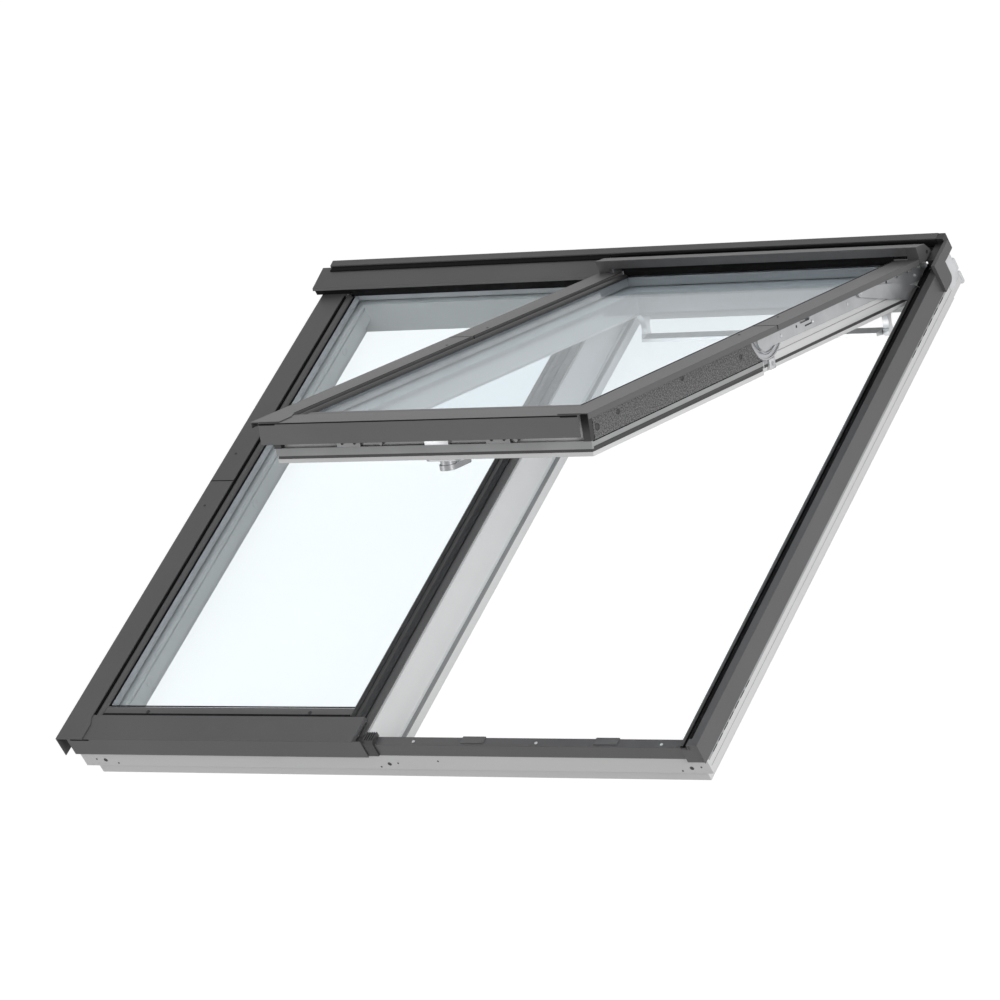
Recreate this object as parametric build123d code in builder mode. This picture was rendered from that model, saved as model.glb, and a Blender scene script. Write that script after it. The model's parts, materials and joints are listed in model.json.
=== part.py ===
from build123d import *
import os
from math import hypot

# Two-in-one roof window: a fixed light beside a top-hung sash that also turns on centre pivots.
# Millimetres. X runs across the roof, Y up its slope and Z out through it. The origin lies on the
# room-side face of the frame, on the line between the two lights, at half the frame's height.
# The pieces of the sash and of its lift arms are drawn shut, then swung open about the hinge line.

# Overall sizes
fixed_width = 610.0
opening_width = 660.0
frame_height = 1178.0
open_angle = 29.5
sheet = 1.5
overrun = 5.0

# Wooden frame
stile_width = 49.0
ledge_width = 16.0
ledge_height = 17.0
leg_height = 24.0
leg_setback = 18.0
sill_leg_setback = 8.0
shadow_groove = 4.0
mullion_face = 1.0
mullion_width = 51.5
mullion_upstand = 30.5
glass_seat = 66.0
glazing_gap = 0.5
left_leg_width = 8.0
reveal_low = 29.0
reveal_groove = 3.0
reveal_groove_top = 58.0
wall_top = 84.0
upstand_width = 20.0
sill_wall = 16.0
sill_top = 82.5
right_cap_width = 17.0
arm_pocket_width = 20.0
arm_pocket_floor = 40.0

# Glazing units
pane = 4.0
cavity = 16.0
spacer_width = 9.0
glass_bearing = 18.0

# Covers of the frame
cover_top = 97.0
fixed_cover_overhang = 26.0
fixed_cover_width = 50.0
fixed_cover_skirt = 41.0
fixed_cover_lip = 6.0
fixed_cover_seam_rise = 45.0
fixed_cover_drop = 30.0
seam_gap = 1.0
cover_foot = 7.0
foot_length = 50.0
foot_slope = 14.0
bottom_cover_reach = 6.5
bottom_cover_drop = 37.0
bottom_cover_back = 52.0
bottom_cover_left = 3.0
bottom_cover_right = -16.0
bottom_lip_right = 3.5
frame_skirt_low = 55.0
frame_skirt_high = 94.0
right_cover_top = 96.0
right_cover_drop = 44.0
end_insert = 5.0
hood_left = 40.0
hood_right = -18.0
hood_drop = 53.0
hood_lip_run = 2.0
hood_lip_low = 109.5
hood_lip_high = 114.0
hood_back_high = 118.0
hood_flange_low = 60.0
top_cover_left = 22.0
top_cover_right = 13.5
top_cover_depth = 13.5
top_cover_high = 122.0
top_cover_rise = 1.0
top_cover_front_low = 70.0
top_cover_back_low = 88.0
corner_plate_drop = 66.0
corner_plate_thickness = 7.0
corner_plate_low = 58.0
corner_plate_high = 118.0
corner_plate_flap = 34.0
corner_plate_step = 97.5
corner_plate_round = 12.0
head_block_high = 112.0
sill_skirt_low = 59.0
sill_lip = 8.0
keep_left = -97.0
keep_right = 164.0
keep_length = 45.0
keep_depth = 12.0
keep_overhang = 3.0
keep_height = 1.5
end_cap_reach = 4.5
end_cap_right = 4.5
end_cap_block = 20.0
end_cap_overhang = 4.0
end_cap_low = 60.0
end_cap_top = 86.0
end_cap_block_top = 93.0
end_cap_bevel = 5.0
end_cap_ribs = 4
end_cap_rib_depth = 3.0

# Beads and seals of the fixed light
bead_height = 6.0
bead_left_height = 4.0
bead_left_gap = 6.5
bead_left_width = 15.0
bead_right_width = 27.0
bottom_bead_front = 53.0
bottom_bead_width = 24.0
bottom_bead_height = 3.0
top_bead_width = 10.0
top_bead_height = 21.0
bead_right_gap = 22.0
mullion_profile_width = 17.0
mullion_profile_edge = 2.6
wall_seal_height = 2.3
wall_seal_gap = 0.5
wall_seal_overhang = 4.5
frame_seal_width = 8.0
frame_seal_height = 2.0

# Sash
sash_side_gap = 20.0
sash_stile = 66.0
sash_bottom_gap = 33.0
sash_top_gap = 10.0
sash_room_face = 20.0
sash_glass_seat = 64.0
sash_upstand = 10.0
sash_upper_top = 86.0
sash_edge_chamfer = 6.0
sash_lip_out = 12.0
sash_lip_front = 7.0
sash_lip_top = 27.0
sash_glass_gap = 3.0
seal_width = 9.0
seal_height = 1.0
seal_end = 18.0
seal_ridge_gap = 4.0
seal_ridge_width = 13.0
seal_ridge_height = 6.0
seal_ridge_drop = 91.0
bead_top_gap = 22.0
bead_sash_width = 34.0
bead_sash_height = 4.0

# Covers of the sash
cover_overlap = 13.5
cover_width = 50.5
cover_flange = 10.0
cover_lip = 7.5
cover_reach = 7.0
sash_side_reach = 4.0
cover_upper_drop = 86.0
sash_cover_out = 16.0
sash_cover_reach = 8.0
sash_cover_depth = 57.0
sash_cover_low = 59.0
sash_cover_lip = 4.5

# Insulation and edge strips along the sash
insulation = 14.0
insulation_low = 45.0
insulation_high = 86.0
insulation_inset = 2.0
strip_out = 13.0
strip_front = 8.0
strip_low = 32.0
strip_upper = 2.0
gasket_out = 11.0
gasket_front = 6.0
corner_block_out = 14.0
corner_block_front = 10.0
corner_block_top = 90.0

# Lift arms and their top hinge
hinge_drop = 12.0
hinge_z = 64.0
arm_gap = 7.5
arm_thickness = 3.0
arm_low = 60.0
arm_eye = 10.0
arm_neck = 26.0
arm_ear_drop = 77.0
arm_ear_length = 28.0
arm_ear_low = 80.0
arm_ear_high = 106.0
pin_radius = 4.0
pin_clearance = 0.1
bracket_thickness = 2.0
bracket_drop = 81.0
bracket_step_gap = 2.0
bracket_end_gap = 2.0
bracket_low = 28.0
bracket_shelf = 41.0
bracket_high = 82.0
pin_end_gap = 1.0
arm_end_back = 14.0
arm_slot_rise = 127.0
arm_slot_length = 34.0
arm_slot_width = 7.0
arm_hole_drop = 118.0
arm_hole_radius = 3.0
arm_hole_pitch = 38.0
arm_hole_count = 3

# Spring levers
lever_drop = 59.0
lever_z = 50.0
lever_gap = 1.2
lever_thickness = 3.0
lever_length = 225.0
lever_angle = 43.0
lever_root = 12.0
lever_tip = 9.0
lever_crest = 17.0
lever_belly = 11.0
lever_boss_gap = 0.3
lever_boss_radius = 5.0

# Curved centre pivots
pivot_y = 8.0
pivot_z = 98.0
pivot_inner = 34.0
pivot_outer = 58.0
rail_width = 6.0
rail_depth = 3.0
track_back = 2.0
track_cut = 8.0
track_window = 3.0
track_bridge = 10.0
shoe_cut = 6.0
running_gap = 0.3
disc_drop = 4.0
insulation_start = 41.0
insulation_notch = 2.0
strip_start_drop = 28.0

# Hood that moves with the arms
sash_hood_low = 90.0
sash_hood_foot_drop = 87.5
sash_hood_foot_high = 104.0
hood_cap_foot_drop = 81.0
sash_hood_front_drop = 92.0
sash_hood_high = 120.0
sash_hood_crown_drop = 61.0
sash_hood_crown_high = 119.0
sash_hood_shoulder_drop = 43.0
sash_hood_shoulder_high = 106.0
sash_hood_back_drop = 37.0

# Locks, handle and vent bar
lock_left = -160.0
lock_right = 130.0
lock_length = 46.0
lock_low = 45.0
lock_high = 58.0
rod_low = 47.0
rod_high = 52.0
rod_depth = 4.0
stud_radius = 3.5
handle_base_length = 76.0
handle_base_width = 30.0
handle_base_height = 9.0
handle_hub_radius = 13.0
handle_hub_height = 16.0
handle_spindle_radius = 5.0
handle_grip_length = 40.0
handle_grip_width = 30.0
handle_grip_thickness = 9.0
handle_clearance = 0.3
vent_reach = 13.0
vent_axis_drop = 46.0
vent_axis_setback = 26.0
vent_pin_radius = 4.0
vent_bracket = 12.0
vent_bracket_width = 18.0
vent_bracket_foot = 48.0
vent_bracket_waist = 12.0
vent_bar_depth = 30.0
vent_bar_height = 12.0
vent_end_gap = 1.0

# Places that follow from the sizes above
left_face = -fixed_width
right_face = opening_width
top_edge = frame_height / 2
bottom_edge = -frame_height / 2
fixed_reveal = left_face + stile_width
right_ledge = right_face - stile_width
right_wall = right_ledge + ledge_width
right_cap = right_face - right_cap_width
head_inner = top_edge - stile_width
sill_inner = bottom_edge + stile_width
sill_face = bottom_edge + sill_wall
mullion_reveal = mullion_face - mullion_width
mullion_ledge = mullion_face + ledge_width
mullion_rebate = mullion_face - mullion_upstand
cover_under = cover_top - sheet
plate_under = cover_under - sheet
seat_face = glass_seat - glazing_gap
glass_left = fixed_reveal - glass_bearing
glass_right = mullion_reveal + glass_bearing
glass_top = head_inner + glass_bearing
glass_bottom = sill_inner - glass_bearing
unit = pane + cavity + pane
glass_face = glass_seat + unit
fixed_cover_seam = fixed_cover_seam_rise
fixed_cover_end = top_edge - fixed_cover_drop
right_cover_end = top_edge - right_cover_drop
hood_front = top_edge - hood_drop
corner_plate_start = top_edge - corner_plate_drop
sash_bottom = bottom_edge + sash_bottom_gap
sash_top = head_inner - sash_top_gap
cover_bottom = bottom_edge - cover_reach
sash_side_bottom = bottom_edge - sash_side_reach
cover_upper_end = top_edge - cover_upper_drop
sash_cover_front = bottom_edge - sash_cover_reach
sash_cover_back = sash_cover_front + sash_cover_depth
hinge_y = top_edge - hinge_drop
bracket_start = top_edge - bracket_drop
bracket_step = head_inner - bracket_step_gap
bracket_end = top_edge - bracket_end_gap
arm_ear_start = top_edge - arm_ear_drop
arm_ear_end = arm_ear_start + arm_ear_length
lever_y = top_edge - lever_drop
sash_hood_foot = top_edge - sash_hood_foot_drop
sash_hood_front = top_edge - sash_hood_front_drop
sash_hood_crown = top_edge - sash_hood_crown_drop
sash_hood_shoulder = top_edge - sash_hood_shoulder_drop
sash_hood_back = top_edge - sash_hood_back_drop
sash_centre = (mullion_face + right_wall) / 2
half_opening = (right_wall - mullion_face) / 2
sash_half = half_opening - sash_side_gap
sash_inner = sash_half - sash_stile
sash_rebate = sash_half - sash_upstand
sash_seat_face = sash_glass_seat - glazing_gap
sash_glass_face = sash_glass_seat + unit
sash_cover_half = sash_half + sash_cover_out
vent_half = sash_inner + vent_reach
cover_half = half_opening + cover_overlap
cover_inner = cover_half - cover_width
arm_near = sash_half + arm_gap
arm_far = arm_near + arm_thickness
lever_near = arm_far + lever_gap
lever_far = lever_near + lever_thickness
track_near = arm_near - track_back - rail_depth
rail_pitch = pivot_outer - rail_width
swing = Pos(0, hinge_y, hinge_z) * Rot(X=-open_angle) * Pos(0, -hinge_y, -hinge_z)
SIDES = (("left", -1), ("right", 1))

os.makedirs("parts", exist_ok=True)


def keep(name, solid):
    """Label a finished piece and write it."""
    solid.label = name
    export_step(solid, f"parts/{name}.step")


def keep_open(name, solid):
    """Swing a piece that was drawn shut to the open rest position, then write it."""
    keep(name, solid.moved(swing))


def outline(plane, points):
    """Flat face on a plane inside a closed run of points."""
    with BuildSketch(plane) as face:
        with BuildLine():
            Polyline(*points, close=True)
        make_face()
    return face.sketch


def across(points, x):
    """Face of (y, z) points at x, to be run along +X."""
    return outline(Plane.YZ.offset(x), points)


def along(points, y):
    """Face of (x, z) points at y, to be run down the slope along -Y."""
    return outline(Plane.XZ.offset(-y), points)


def flat(points, z):
    """Face of (x, y) points at z, to be run along +Z."""
    return outline(Plane.XY.offset(z), points)


def rectangle(a_low, b_low, a_high, b_high):
    """Corner points of a rectangle."""
    return [(a_low, b_low), (a_high, b_low), (a_high, b_high), (a_low, b_high)]


def folded(path):
    """Outline of a folded sheet: the path of its outer skin, thickened to the path's left."""
    normals = []
    for (a_from, b_from), (a_to, b_to) in zip(path, path[1:]):
        length = hypot(a_to - a_from, b_to - b_from)
        normals.append(((b_from - b_to) / length, (a_to - a_from) / length))
    inner = []
    for index, (a, b) in enumerate(path):
        before = normals[max(index - 1, 0)]
        after = normals[min(index, len(normals) - 1)]
        reach = sheet / (1 + before[0] * after[0] + before[1] * after[1])
        inner.append((a + (before[0] + after[0]) * reach, b + (before[1] + after[1]) * reach))
    return list(path) + inner[::-1]


def scaled(shares, a_start, a_size, b_start, b_size):
    """Outline points from shares of a width and a height."""
    return [(a_start + a_size * a, b_start + b_size * b) for a, b in shares]


def beside(sign, points):
    """Move points of (offset from the sash's middle, height) to one side of the sash."""
    return [(sash_centre + sign * offset_x, z) for offset_x, z in points]


def side_start(sign, near, far):
    """Lowest X of a span given as two offsets from the sash's middle."""
    return sash_centre + min(sign * near, sign * far)


# Left stile of the frame
leg_left = left_face + leg_setback
leg_left_inner = leg_left + left_leg_width
leg_right = right_face - leg_setback
leg_top = top_edge - leg_setback
leg_bottom = bottom_edge + sill_leg_setback
groove_low = leg_height - shadow_groove
with BuildPart() as left_stile:
    profile = [
        (left_face, leg_height),
        (leg_left_inner, leg_height),
        (leg_left_inner, reveal_low),
        (fixed_reveal, reveal_low),
        (fixed_reveal, reveal_groove_top - reveal_groove),
        (fixed_reveal - reveal_groove, reveal_groove_top - reveal_groove),
        (fixed_reveal - reveal_groove, reveal_groove_top),
        (fixed_reveal, reveal_groove_top),
        (fixed_reveal, seat_face),
        (left_face + upstand_width, seat_face),
        (left_face + upstand_width, cover_under),
        (left_face, cover_under),
    ]
    extrude(along(profile, top_edge), amount=frame_height)
    neck = rectangle(leg_left + shadow_groove, groove_low, leg_left_inner, leg_height)
    extrude(along(neck, leg_top - shadow_groove), amount=leg_top - leg_bottom - 2 * shadow_groove)
    leg = rectangle(leg_left, 0, leg_left_inner, groove_low)
    extrude(along(leg, leg_top), amount=leg_top - leg_bottom)
keep("frame_left_stile", left_stile.part)

# Right stile of the frame, with the ledge that the shut sash stops on
with BuildPart() as right_stile:
    profile = [
        (right_face, leg_height),
        (right_wall, leg_height),
        (right_wall, wall_top),
        (right_cap, wall_top),
        (right_cap, right_cover_top - sheet),
        (right_face, right_cover_top - sheet),
    ]
    extrude(along(profile, top_edge), amount=frame_height)
    neck = rectangle(right_wall, groove_low, leg_right - shadow_groove, leg_height)
    extrude(along(neck, leg_top - shadow_groove), amount=leg_top - leg_bottom - 2 * shadow_groove)
    leg = rectangle(right_wall, 0, leg_right, groove_low)
    extrude(along(leg, leg_top), amount=leg_top - leg_bottom)
    ledge = rectangle(right_ledge, 0, right_wall, ledge_height)
    extrude(along(ledge, head_inner), amount=head_inner - sill_inner)
keep("frame_right_stile", right_stile.part)

# Head of the frame, with the seat of the fixed glass and a pocket for each arm's root
with BuildPart() as head:
    head_leg = [
        (top_edge, leg_height),
        (leg_top - shadow_groove, leg_height),
        (leg_top - shadow_groove, groove_low),
        (leg_top, groove_low),
        (leg_top, 0),
        (head_inner, 0),
    ]
    profile = head_leg + [(head_inner, wall_top), (top_edge, wall_top)]
    extrude(across(profile, fixed_reveal), amount=right_wall - fixed_reveal)
    profile = head_leg + [(head_inner, reveal_low), (top_edge, reveal_low)]
    extrude(across(profile, leg_left_inner), amount=fixed_reveal - leg_left_inner)
    seat = rectangle(head_inner - overrun, seat_face, glass_top + sash_glass_gap, wall_top + overrun)
    extrude(across(seat, fixed_reveal), amount=mullion_rebate - fixed_reveal, mode=Mode.SUBTRACT)
    pocket = rectangle(head_inner - overrun, arm_pocket_floor, top_edge + overrun, wall_top + overrun)
    for side, sign in SIDES:
        pocket_start = side_start(sign, half_opening - arm_pocket_width, half_opening)
        extrude(across(pocket, pocket_start), amount=arm_pocket_width, mode=Mode.SUBTRACT)
keep("frame_head", head.part)

# Sill of the frame: a glass seat under the fixed light, a low ledge and an outer wall under the sash
sill_leg = [
    (bottom_edge, leg_height),
    (leg_bottom + shadow_groove, leg_height),
    (leg_bottom + shadow_groove, groove_low),
    (leg_bottom, groove_low),
    (leg_bottom, 0),
    (sill_inner, 0),
]
with BuildPart() as sill:
    profile = sill_leg + [(sill_inner, reveal_low), (bottom_edge, reveal_low)]
    extrude(across(profile, leg_left_inner), amount=fixed_reveal - leg_left_inner)
    profile = sill_leg + [
        (sill_inner, seat_face),
        (bottom_edge + upstand_width, seat_face),
        (bottom_edge + upstand_width, plate_under),
        (bottom_edge, plate_under),
    ]
    extrude(across(profile, fixed_reveal), amount=bottom_cover_right - fixed_reveal)
    profile = sill_leg + [
        (sill_inner, ledge_height),
        (sill_face, ledge_height),
        (sill_face, sill_top),
        (bottom_edge, sill_top),
    ]
    extrude(across(profile, bottom_cover_right), amount=right_wall - bottom_cover_right)
keep("frame_sill", sill.part)

# Mullion between the two lights, its foot reaching the sill's outer wall
with BuildPart() as mullion:
    profile = [
        (mullion_reveal, 0),
        (mullion_ledge, 0),
        (mullion_ledge, ledge_height),
        (mullion_face, ledge_height),
        (mullion_face, wall_top),
        (mullion_rebate, wall_top),
        (mullion_rebate, seat_face),
        (mullion_reveal, seat_face),
    ]
    extrude(along(profile, head_inner), amount=head_inner - sill_inner)
    foot = rectangle(bottom_cover_right, ledge_height, mullion_face, wall_top)
    extrude(along(foot, sill_inner), amount=sill_inner - sill_face)
keep("frame_mullion", mullion.part)

# Glazing unit of the fixed light
unit_outline = rectangle(glass_left, glass_bottom, glass_right, glass_top)
with BuildPart() as fixed_inner_pane:
    extrude(flat(unit_outline, glass_seat), amount=pane)
keep("fixed_inner_pane", fixed_inner_pane.part)

with BuildPart() as fixed_outer_pane:
    extrude(flat(unit_outline, glass_seat + pane + cavity), amount=pane)
keep("fixed_outer_pane", fixed_outer_pane.part)

with BuildPart() as fixed_spacer:
    extrude(flat(unit_outline, glass_seat + pane), amount=cavity)
    daylight = rectangle(
        glass_left + spacer_width,
        glass_bottom + spacer_width,
        glass_right - spacer_width,
        glass_top - spacer_width,
    )
    extrude(flat(daylight, glass_seat + pane), amount=cavity, mode=Mode.SUBTRACT)
keep("fixed_spacer", fixed_spacer.part)

# Beads that hold the fixed glass
ridge_shares = [(0, 0), (0.08, 0.7), (0.3, 1), (0.62, 1), (0.9, 0.6), (1, 0)]
double_ridge_shares = [(0, 0), (0.04, 0.7), (0.16, 1), (0.3, 0.75), (0.4, 0.3), (0.55, 0.85), (0.78, 0.8), (1, -0.2)]
bead_left_start = left_face + upstand_width + bead_left_gap
with BuildPart() as fixed_bead_left:
    ridge = scaled(ridge_shares, bead_left_start, bead_left_width, glass_face, bead_left_height)
    extrude(along(ridge, hood_front), amount=hood_front - bottom_edge - bottom_bead_front)
keep("fixed_bead_left", fixed_bead_left.part)

bead_right_end = mullion_face - bead_right_gap
with BuildPart() as fixed_bead_right:
    ridges = scaled(
        double_ridge_shares, bead_right_end - bead_right_width, bead_right_width, glass_face, bead_height
    )
    base = [
        (bead_right_end, wall_top),
        (glass_right + sheet, wall_top),
        (glass_right + sheet, glass_face),
    ]
    extrude(along(ridges + base, hood_front), amount=hood_front - bottom_edge - bottom_bead_front)
keep("fixed_bead_right", fixed_bead_right.part)

bottom_bead_low = bottom_edge + bottom_bead_front
with BuildPart() as fixed_bead_bottom:
    ridge = scaled(ridge_shares, bottom_bead_low, bottom_bead_width, glass_face, bottom_bead_height)
    bead_start = bead_left_start + bead_left_width
    bead_end = bead_right_end - bead_right_width
    extrude(across(ridge, bead_start), amount=bead_end - bead_start)
keep("fixed_bead_bottom", fixed_bead_bottom.part)

with BuildPart() as fixed_bead_top:
    bead_front = hood_front + hood_lip_run + sheet
    bead_back = bead_front + top_bead_width
    bead_crest = glass_face + top_bead_height
    gasket = rectangle(bead_front, glass_face, bead_back, bead_crest)
    extrude(across(gasket, bead_start), amount=bead_end - bead_start)
    gasket_over_cover = rectangle(bead_front, cover_top, bead_back, bead_crest)
    end_start = left_face - hood_left + sheet
    extrude(across(gasket_over_cover, end_start), amount=bead_start - end_start)
keep("fixed_bead_top", fixed_bead_top.part)

# Side covers of the fixed light, in two lengths
fixed_cover_outer = left_face - fixed_cover_overhang
fixed_cover_inner = fixed_cover_outer + fixed_cover_width
fixed_cover_section = folded(
    [
        (fixed_cover_inner, cover_top - fixed_cover_lip),
        (fixed_cover_inner, cover_top),
        (fixed_cover_outer, cover_top),
        (fixed_cover_outer, cover_top - fixed_cover_skirt),
    ]
)
lower_cover_end = fixed_cover_seam - seam_gap
with BuildPart() as fixed_cover_lower:
    extrude(along(fixed_cover_section, lower_cover_end), amount=lower_cover_end - cover_bottom)
    foot = [
        (fixed_cover_inner, cover_bottom),
        (fixed_cover_inner + cover_foot, cover_bottom),
        (fixed_cover_inner + cover_foot, cover_bottom + foot_length - foot_slope),
        (fixed_cover_inner, cover_bottom + foot_length),
    ]
    extrude(flat(foot, cover_under), amount=sheet)
    clearance = rectangle(fixed_cover_inner - 2 * sheet, plate_under - overrun, fixed_cover_inner, cover_under)
    foot_end = bottom_edge + bottom_cover_back + seam_gap
    extrude(along(clearance, foot_end), amount=foot_end - cover_bottom, mode=Mode.SUBTRACT)
keep("fixed_side_cover_lower", fixed_cover_lower.part)

with BuildPart() as fixed_cover_upper:
    extrude(along(fixed_cover_section, fixed_cover_end), amount=fixed_cover_end - fixed_cover_seam)
keep("fixed_side_cover_upper", fixed_cover_upper.part)

# Cover on the outer face of the left stile, behind the side cover's skirt
with BuildPart() as left_frame_cover:
    skirt = rectangle(left_face - sheet, frame_skirt_low, left_face, frame_skirt_high)
    extrude(along(skirt, top_edge), amount=frame_height)
keep("left_frame_cover", left_frame_cover.part)

# Broad cover over the sill of the fixed light
bottom_skin = bottom_edge - bottom_cover_reach
with BuildPart() as fixed_bottom_cover:
    section = folded(
        [
            (bottom_edge + bottom_cover_back, cover_under - fixed_cover_lip / 2),
            (bottom_edge + bottom_cover_back, cover_under),
            (bottom_skin, cover_under),
            (bottom_skin, cover_under - bottom_cover_drop),
        ]
    )
    plate_start = left_face + upstand_width
    extrude(across(section, plate_start), amount=bottom_cover_right - plate_start)
    lip = rectangle(bottom_skin, cover_under - bottom_cover_drop, bottom_skin + sheet, cover_under)
    lip_start = left_face - bottom_cover_left
    extrude(across(lip, lip_start), amount=bottom_lip_right - lip_start)
    end_plate = rectangle(bottom_skin, end_cap_top + seam_gap, bottom_edge + bottom_cover_back, cover_under)
    extrude(across(end_plate, bottom_cover_right), amount=sheet)
keep("fixed_bottom_cover", fixed_bottom_cover.part)

# Hood over the head of the fixed light, closed at its left end
hood_skin = [
    (top_edge + sheet, hood_flange_low),
    (top_edge + sheet, hood_back_high),
    (hood_front + hood_lip_run, hood_lip_high),
    (hood_front, hood_lip_low),
]
hood_start = left_face - hood_left
with BuildPart() as fixed_hood:
    extrude(across(folded(hood_skin), hood_start), amount=hood_right - hood_start)
    hood_end = [(top_edge + sheet, hood_lip_low)] + hood_skin[1:]
    extrude(across(hood_end, hood_start), amount=sheet)
keep("fixed_hood", fixed_hood.part)

# Top cover along the whole head
top_front = top_edge + sheet
top_back = top_front + top_cover_depth
with BuildPart() as top_cover:
    section = folded(
        [
            (top_back, top_cover_back_low),
            (top_back, top_cover_high + top_cover_rise),
            (top_front, top_cover_high),
            (top_front, top_cover_front_low),
        ]
    )
    cover_start = left_face - top_cover_left
    extrude(across(section, cover_start), amount=right_face - top_cover_right - cover_start)
keep("top_cover", top_cover.part)

# Cover over the right stile, with its lower end insert
right_skin = right_face + sheet
with BuildPart() as right_side_cover:
    section = folded(
        [
            (right_skin, frame_skirt_low),
            (right_skin, right_cover_top),
            (right_cap - sheet, right_cover_top),
            (right_cap - sheet, wall_top),
        ]
    )
    extrude(along(section, right_cover_end), amount=right_cover_end - cover_bottom)
keep("right_side_cover", right_side_cover.part)

with BuildPart() as right_end_cap:
    insert = [
        (right_wall, frame_skirt_low),
        (right_face, frame_skirt_low),
        (right_face, right_cover_top - sheet),
        (right_cap, right_cover_top - sheet),
        (right_cap, wall_top),
        (right_wall, wall_top),
    ]
    extrude(along(insert, bottom_edge), amount=end_insert)
keep("right_end_cap", right_end_cap.part)

# Twin-ridged seal on the right stile, under the shut sash's cover
twin_ridge_shares = [(0, 0), (0.1, 1), (0.35, 1), (0.45, 0.3), (0.55, 0.3), (0.65, 1), (0.9, 1), (1, 0)]
with BuildPart() as right_wall_seal:
    seal_left = right_wall - wall_seal_overhang
    seal_run = right_cap - sheet - wall_seal_gap - seal_left
    ridges = scaled(twin_ridge_shares, seal_left, seal_run, wall_top, wall_seal_height)
    seal_stop = bracket_start - seam_gap
    extrude(along(ridges, seal_stop), amount=seal_stop - bottom_edge)
keep("right_wall_seal", right_wall_seal.part)

# Corner pieces at the top right
with BuildPart() as corner_plate:
    plate = [
        (corner_plate_start, corner_plate_low),
        (corner_plate_start + corner_plate_flap, corner_plate_low),
        (corner_plate_start + corner_plate_flap, corner_plate_step),
        (top_edge + sheet, corner_plate_step),
        (top_edge + sheet, corner_plate_high),
        (corner_plate_start, corner_plate_high),
    ]
    extrude(across(plate, right_skin), amount=corner_plate_thickness)
    low_edges = corner_plate.edges().filter_by(Axis.X).group_by(Axis.Z)[0]
    fillet(low_edges.sort_by(Axis.Y)[-1:], radius=corner_plate_round)
keep("corner_plate", corner_plate.part)

with BuildPart() as corner_block:
    block = rectangle(right_cover_end, right_cover_top - sheet, top_edge, head_block_high)
    extrude(across(block, right_cap), amount=right_cap_width)
    end_block = rectangle(top_edge, top_cover_back_low, top_back, top_cover_high)
    extrude(across(end_block, right_face - top_cover_right), amount=top_cover_right)
keep("corner_block", corner_block.part)

# Cover over the sill of the opening light, with the two lock keeps on it
sill_cover_start = end_cap_right
sill_cover_top = sill_top + sheet
with BuildPart() as sill_cover:
    section = folded(
        [
            (sill_face + sheet, sill_cover_top - sill_lip),
            (sill_face + sheet, sill_cover_top),
            (bottom_edge - sheet, sill_cover_top),
            (bottom_edge - sheet, sill_skirt_low),
        ]
    )
    extrude(across(section, sill_cover_start), amount=right_wall - sill_cover_start)
keep("sill_cover", sill_cover.part)

with BuildPart() as lock_keeps:
    keep_back = sill_face + keep_overhang
    plate = rectangle(sill_face - keep_depth, sill_cover_top, keep_back, sill_cover_top + keep_height)
    for keep_place in (keep_left, keep_right):
        extrude(across(plate, sash_centre + keep_place - keep_length / 2), amount=keep_length)
keep("lock_keeps", lock_keeps.part)

# Strip with a raised edge along the top of the mullion and the ribbed cap at its foot
with BuildPart() as mullion_profile:
    profile_right = bead_right_end + mullion_profile_width
    section = [
        (bead_right_end, wall_top),
        (profile_right, wall_top),
        (profile_right, wall_top + mullion_profile_edge),
        (profile_right - sheet, wall_top + mullion_profile_edge),
        (profile_right - sheet, wall_top + sheet),
        (bead_right_end, wall_top + sheet),
    ]
    profile_end = bracket_start - seam_gap
    tail_end = bottom_edge + bottom_cover_back + seam_gap
    extrude(along(section, profile_end), amount=profile_end - tail_end)
    tail = [(max(x, bottom_cover_right + sheet), z) for x, z in section]
    extrude(along(tail, tail_end), amount=tail_end - sill_face)
keep("mullion_profile", mullion_profile.part)

end_cap_front = bottom_edge - end_cap_reach
end_cap_back = sill_face + end_cap_overhang
rib_pitch = end_cap_block / (2 * end_cap_ribs + 1)
with BuildPart() as mullion_end_cap:
    section = [
        (end_cap_front, end_cap_low),
        (bottom_edge, end_cap_low),
        (bottom_edge, sill_top),
        (sill_face, sill_top),
        (sill_face, end_cap_top),
        (end_cap_front, end_cap_top),
    ]
    extrude(across(section, bottom_cover_right), amount=end_cap_right - bottom_cover_right)
    section = [
        (end_cap_front, end_cap_low),
        (bottom_edge - sheet, end_cap_low),
        (bottom_edge - sheet, sill_cover_top),
        (end_cap_back, sill_cover_top),
        (end_cap_back, end_cap_block_top),
        (end_cap_front + end_cap_bevel, end_cap_block_top),
        (end_cap_front, end_cap_block_top - end_cap_bevel),
    ]
    extrude(across(section, end_cap_right), amount=end_cap_block)
    groove = rectangle(
        end_cap_front + end_cap_bevel,
        end_cap_block_top - end_cap_rib_depth,
        end_cap_back + overrun,
        end_cap_block_top + overrun,
    )
    for rib in range(end_cap_ribs):
        groove_start = end_cap_right + rib_pitch * (2 * rib + 1)
        extrude(across(groove, groove_start), amount=rib_pitch, mode=Mode.SUBTRACT)
keep("mullion_end_cap", mullion_end_cap.part)

# Rubber seal on the ledge around the opening
with BuildPart() as frame_seal:
    ring_outer = rectangle(
        mullion_ledge - frame_seal_width,
        sill_inner - frame_seal_width,
        right_ledge + frame_seal_width,
        head_inner,
    )
    ring_inner = rectangle(mullion_ledge, sill_inner, right_ledge, head_inner + overrun)
    extrude(flat(ring_outer, ledge_height), amount=frame_seal_height)
    extrude(flat(ring_inner, ledge_height), amount=frame_seal_height, mode=Mode.SUBTRACT)
keep("frame_seal", frame_seal.part)

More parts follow.
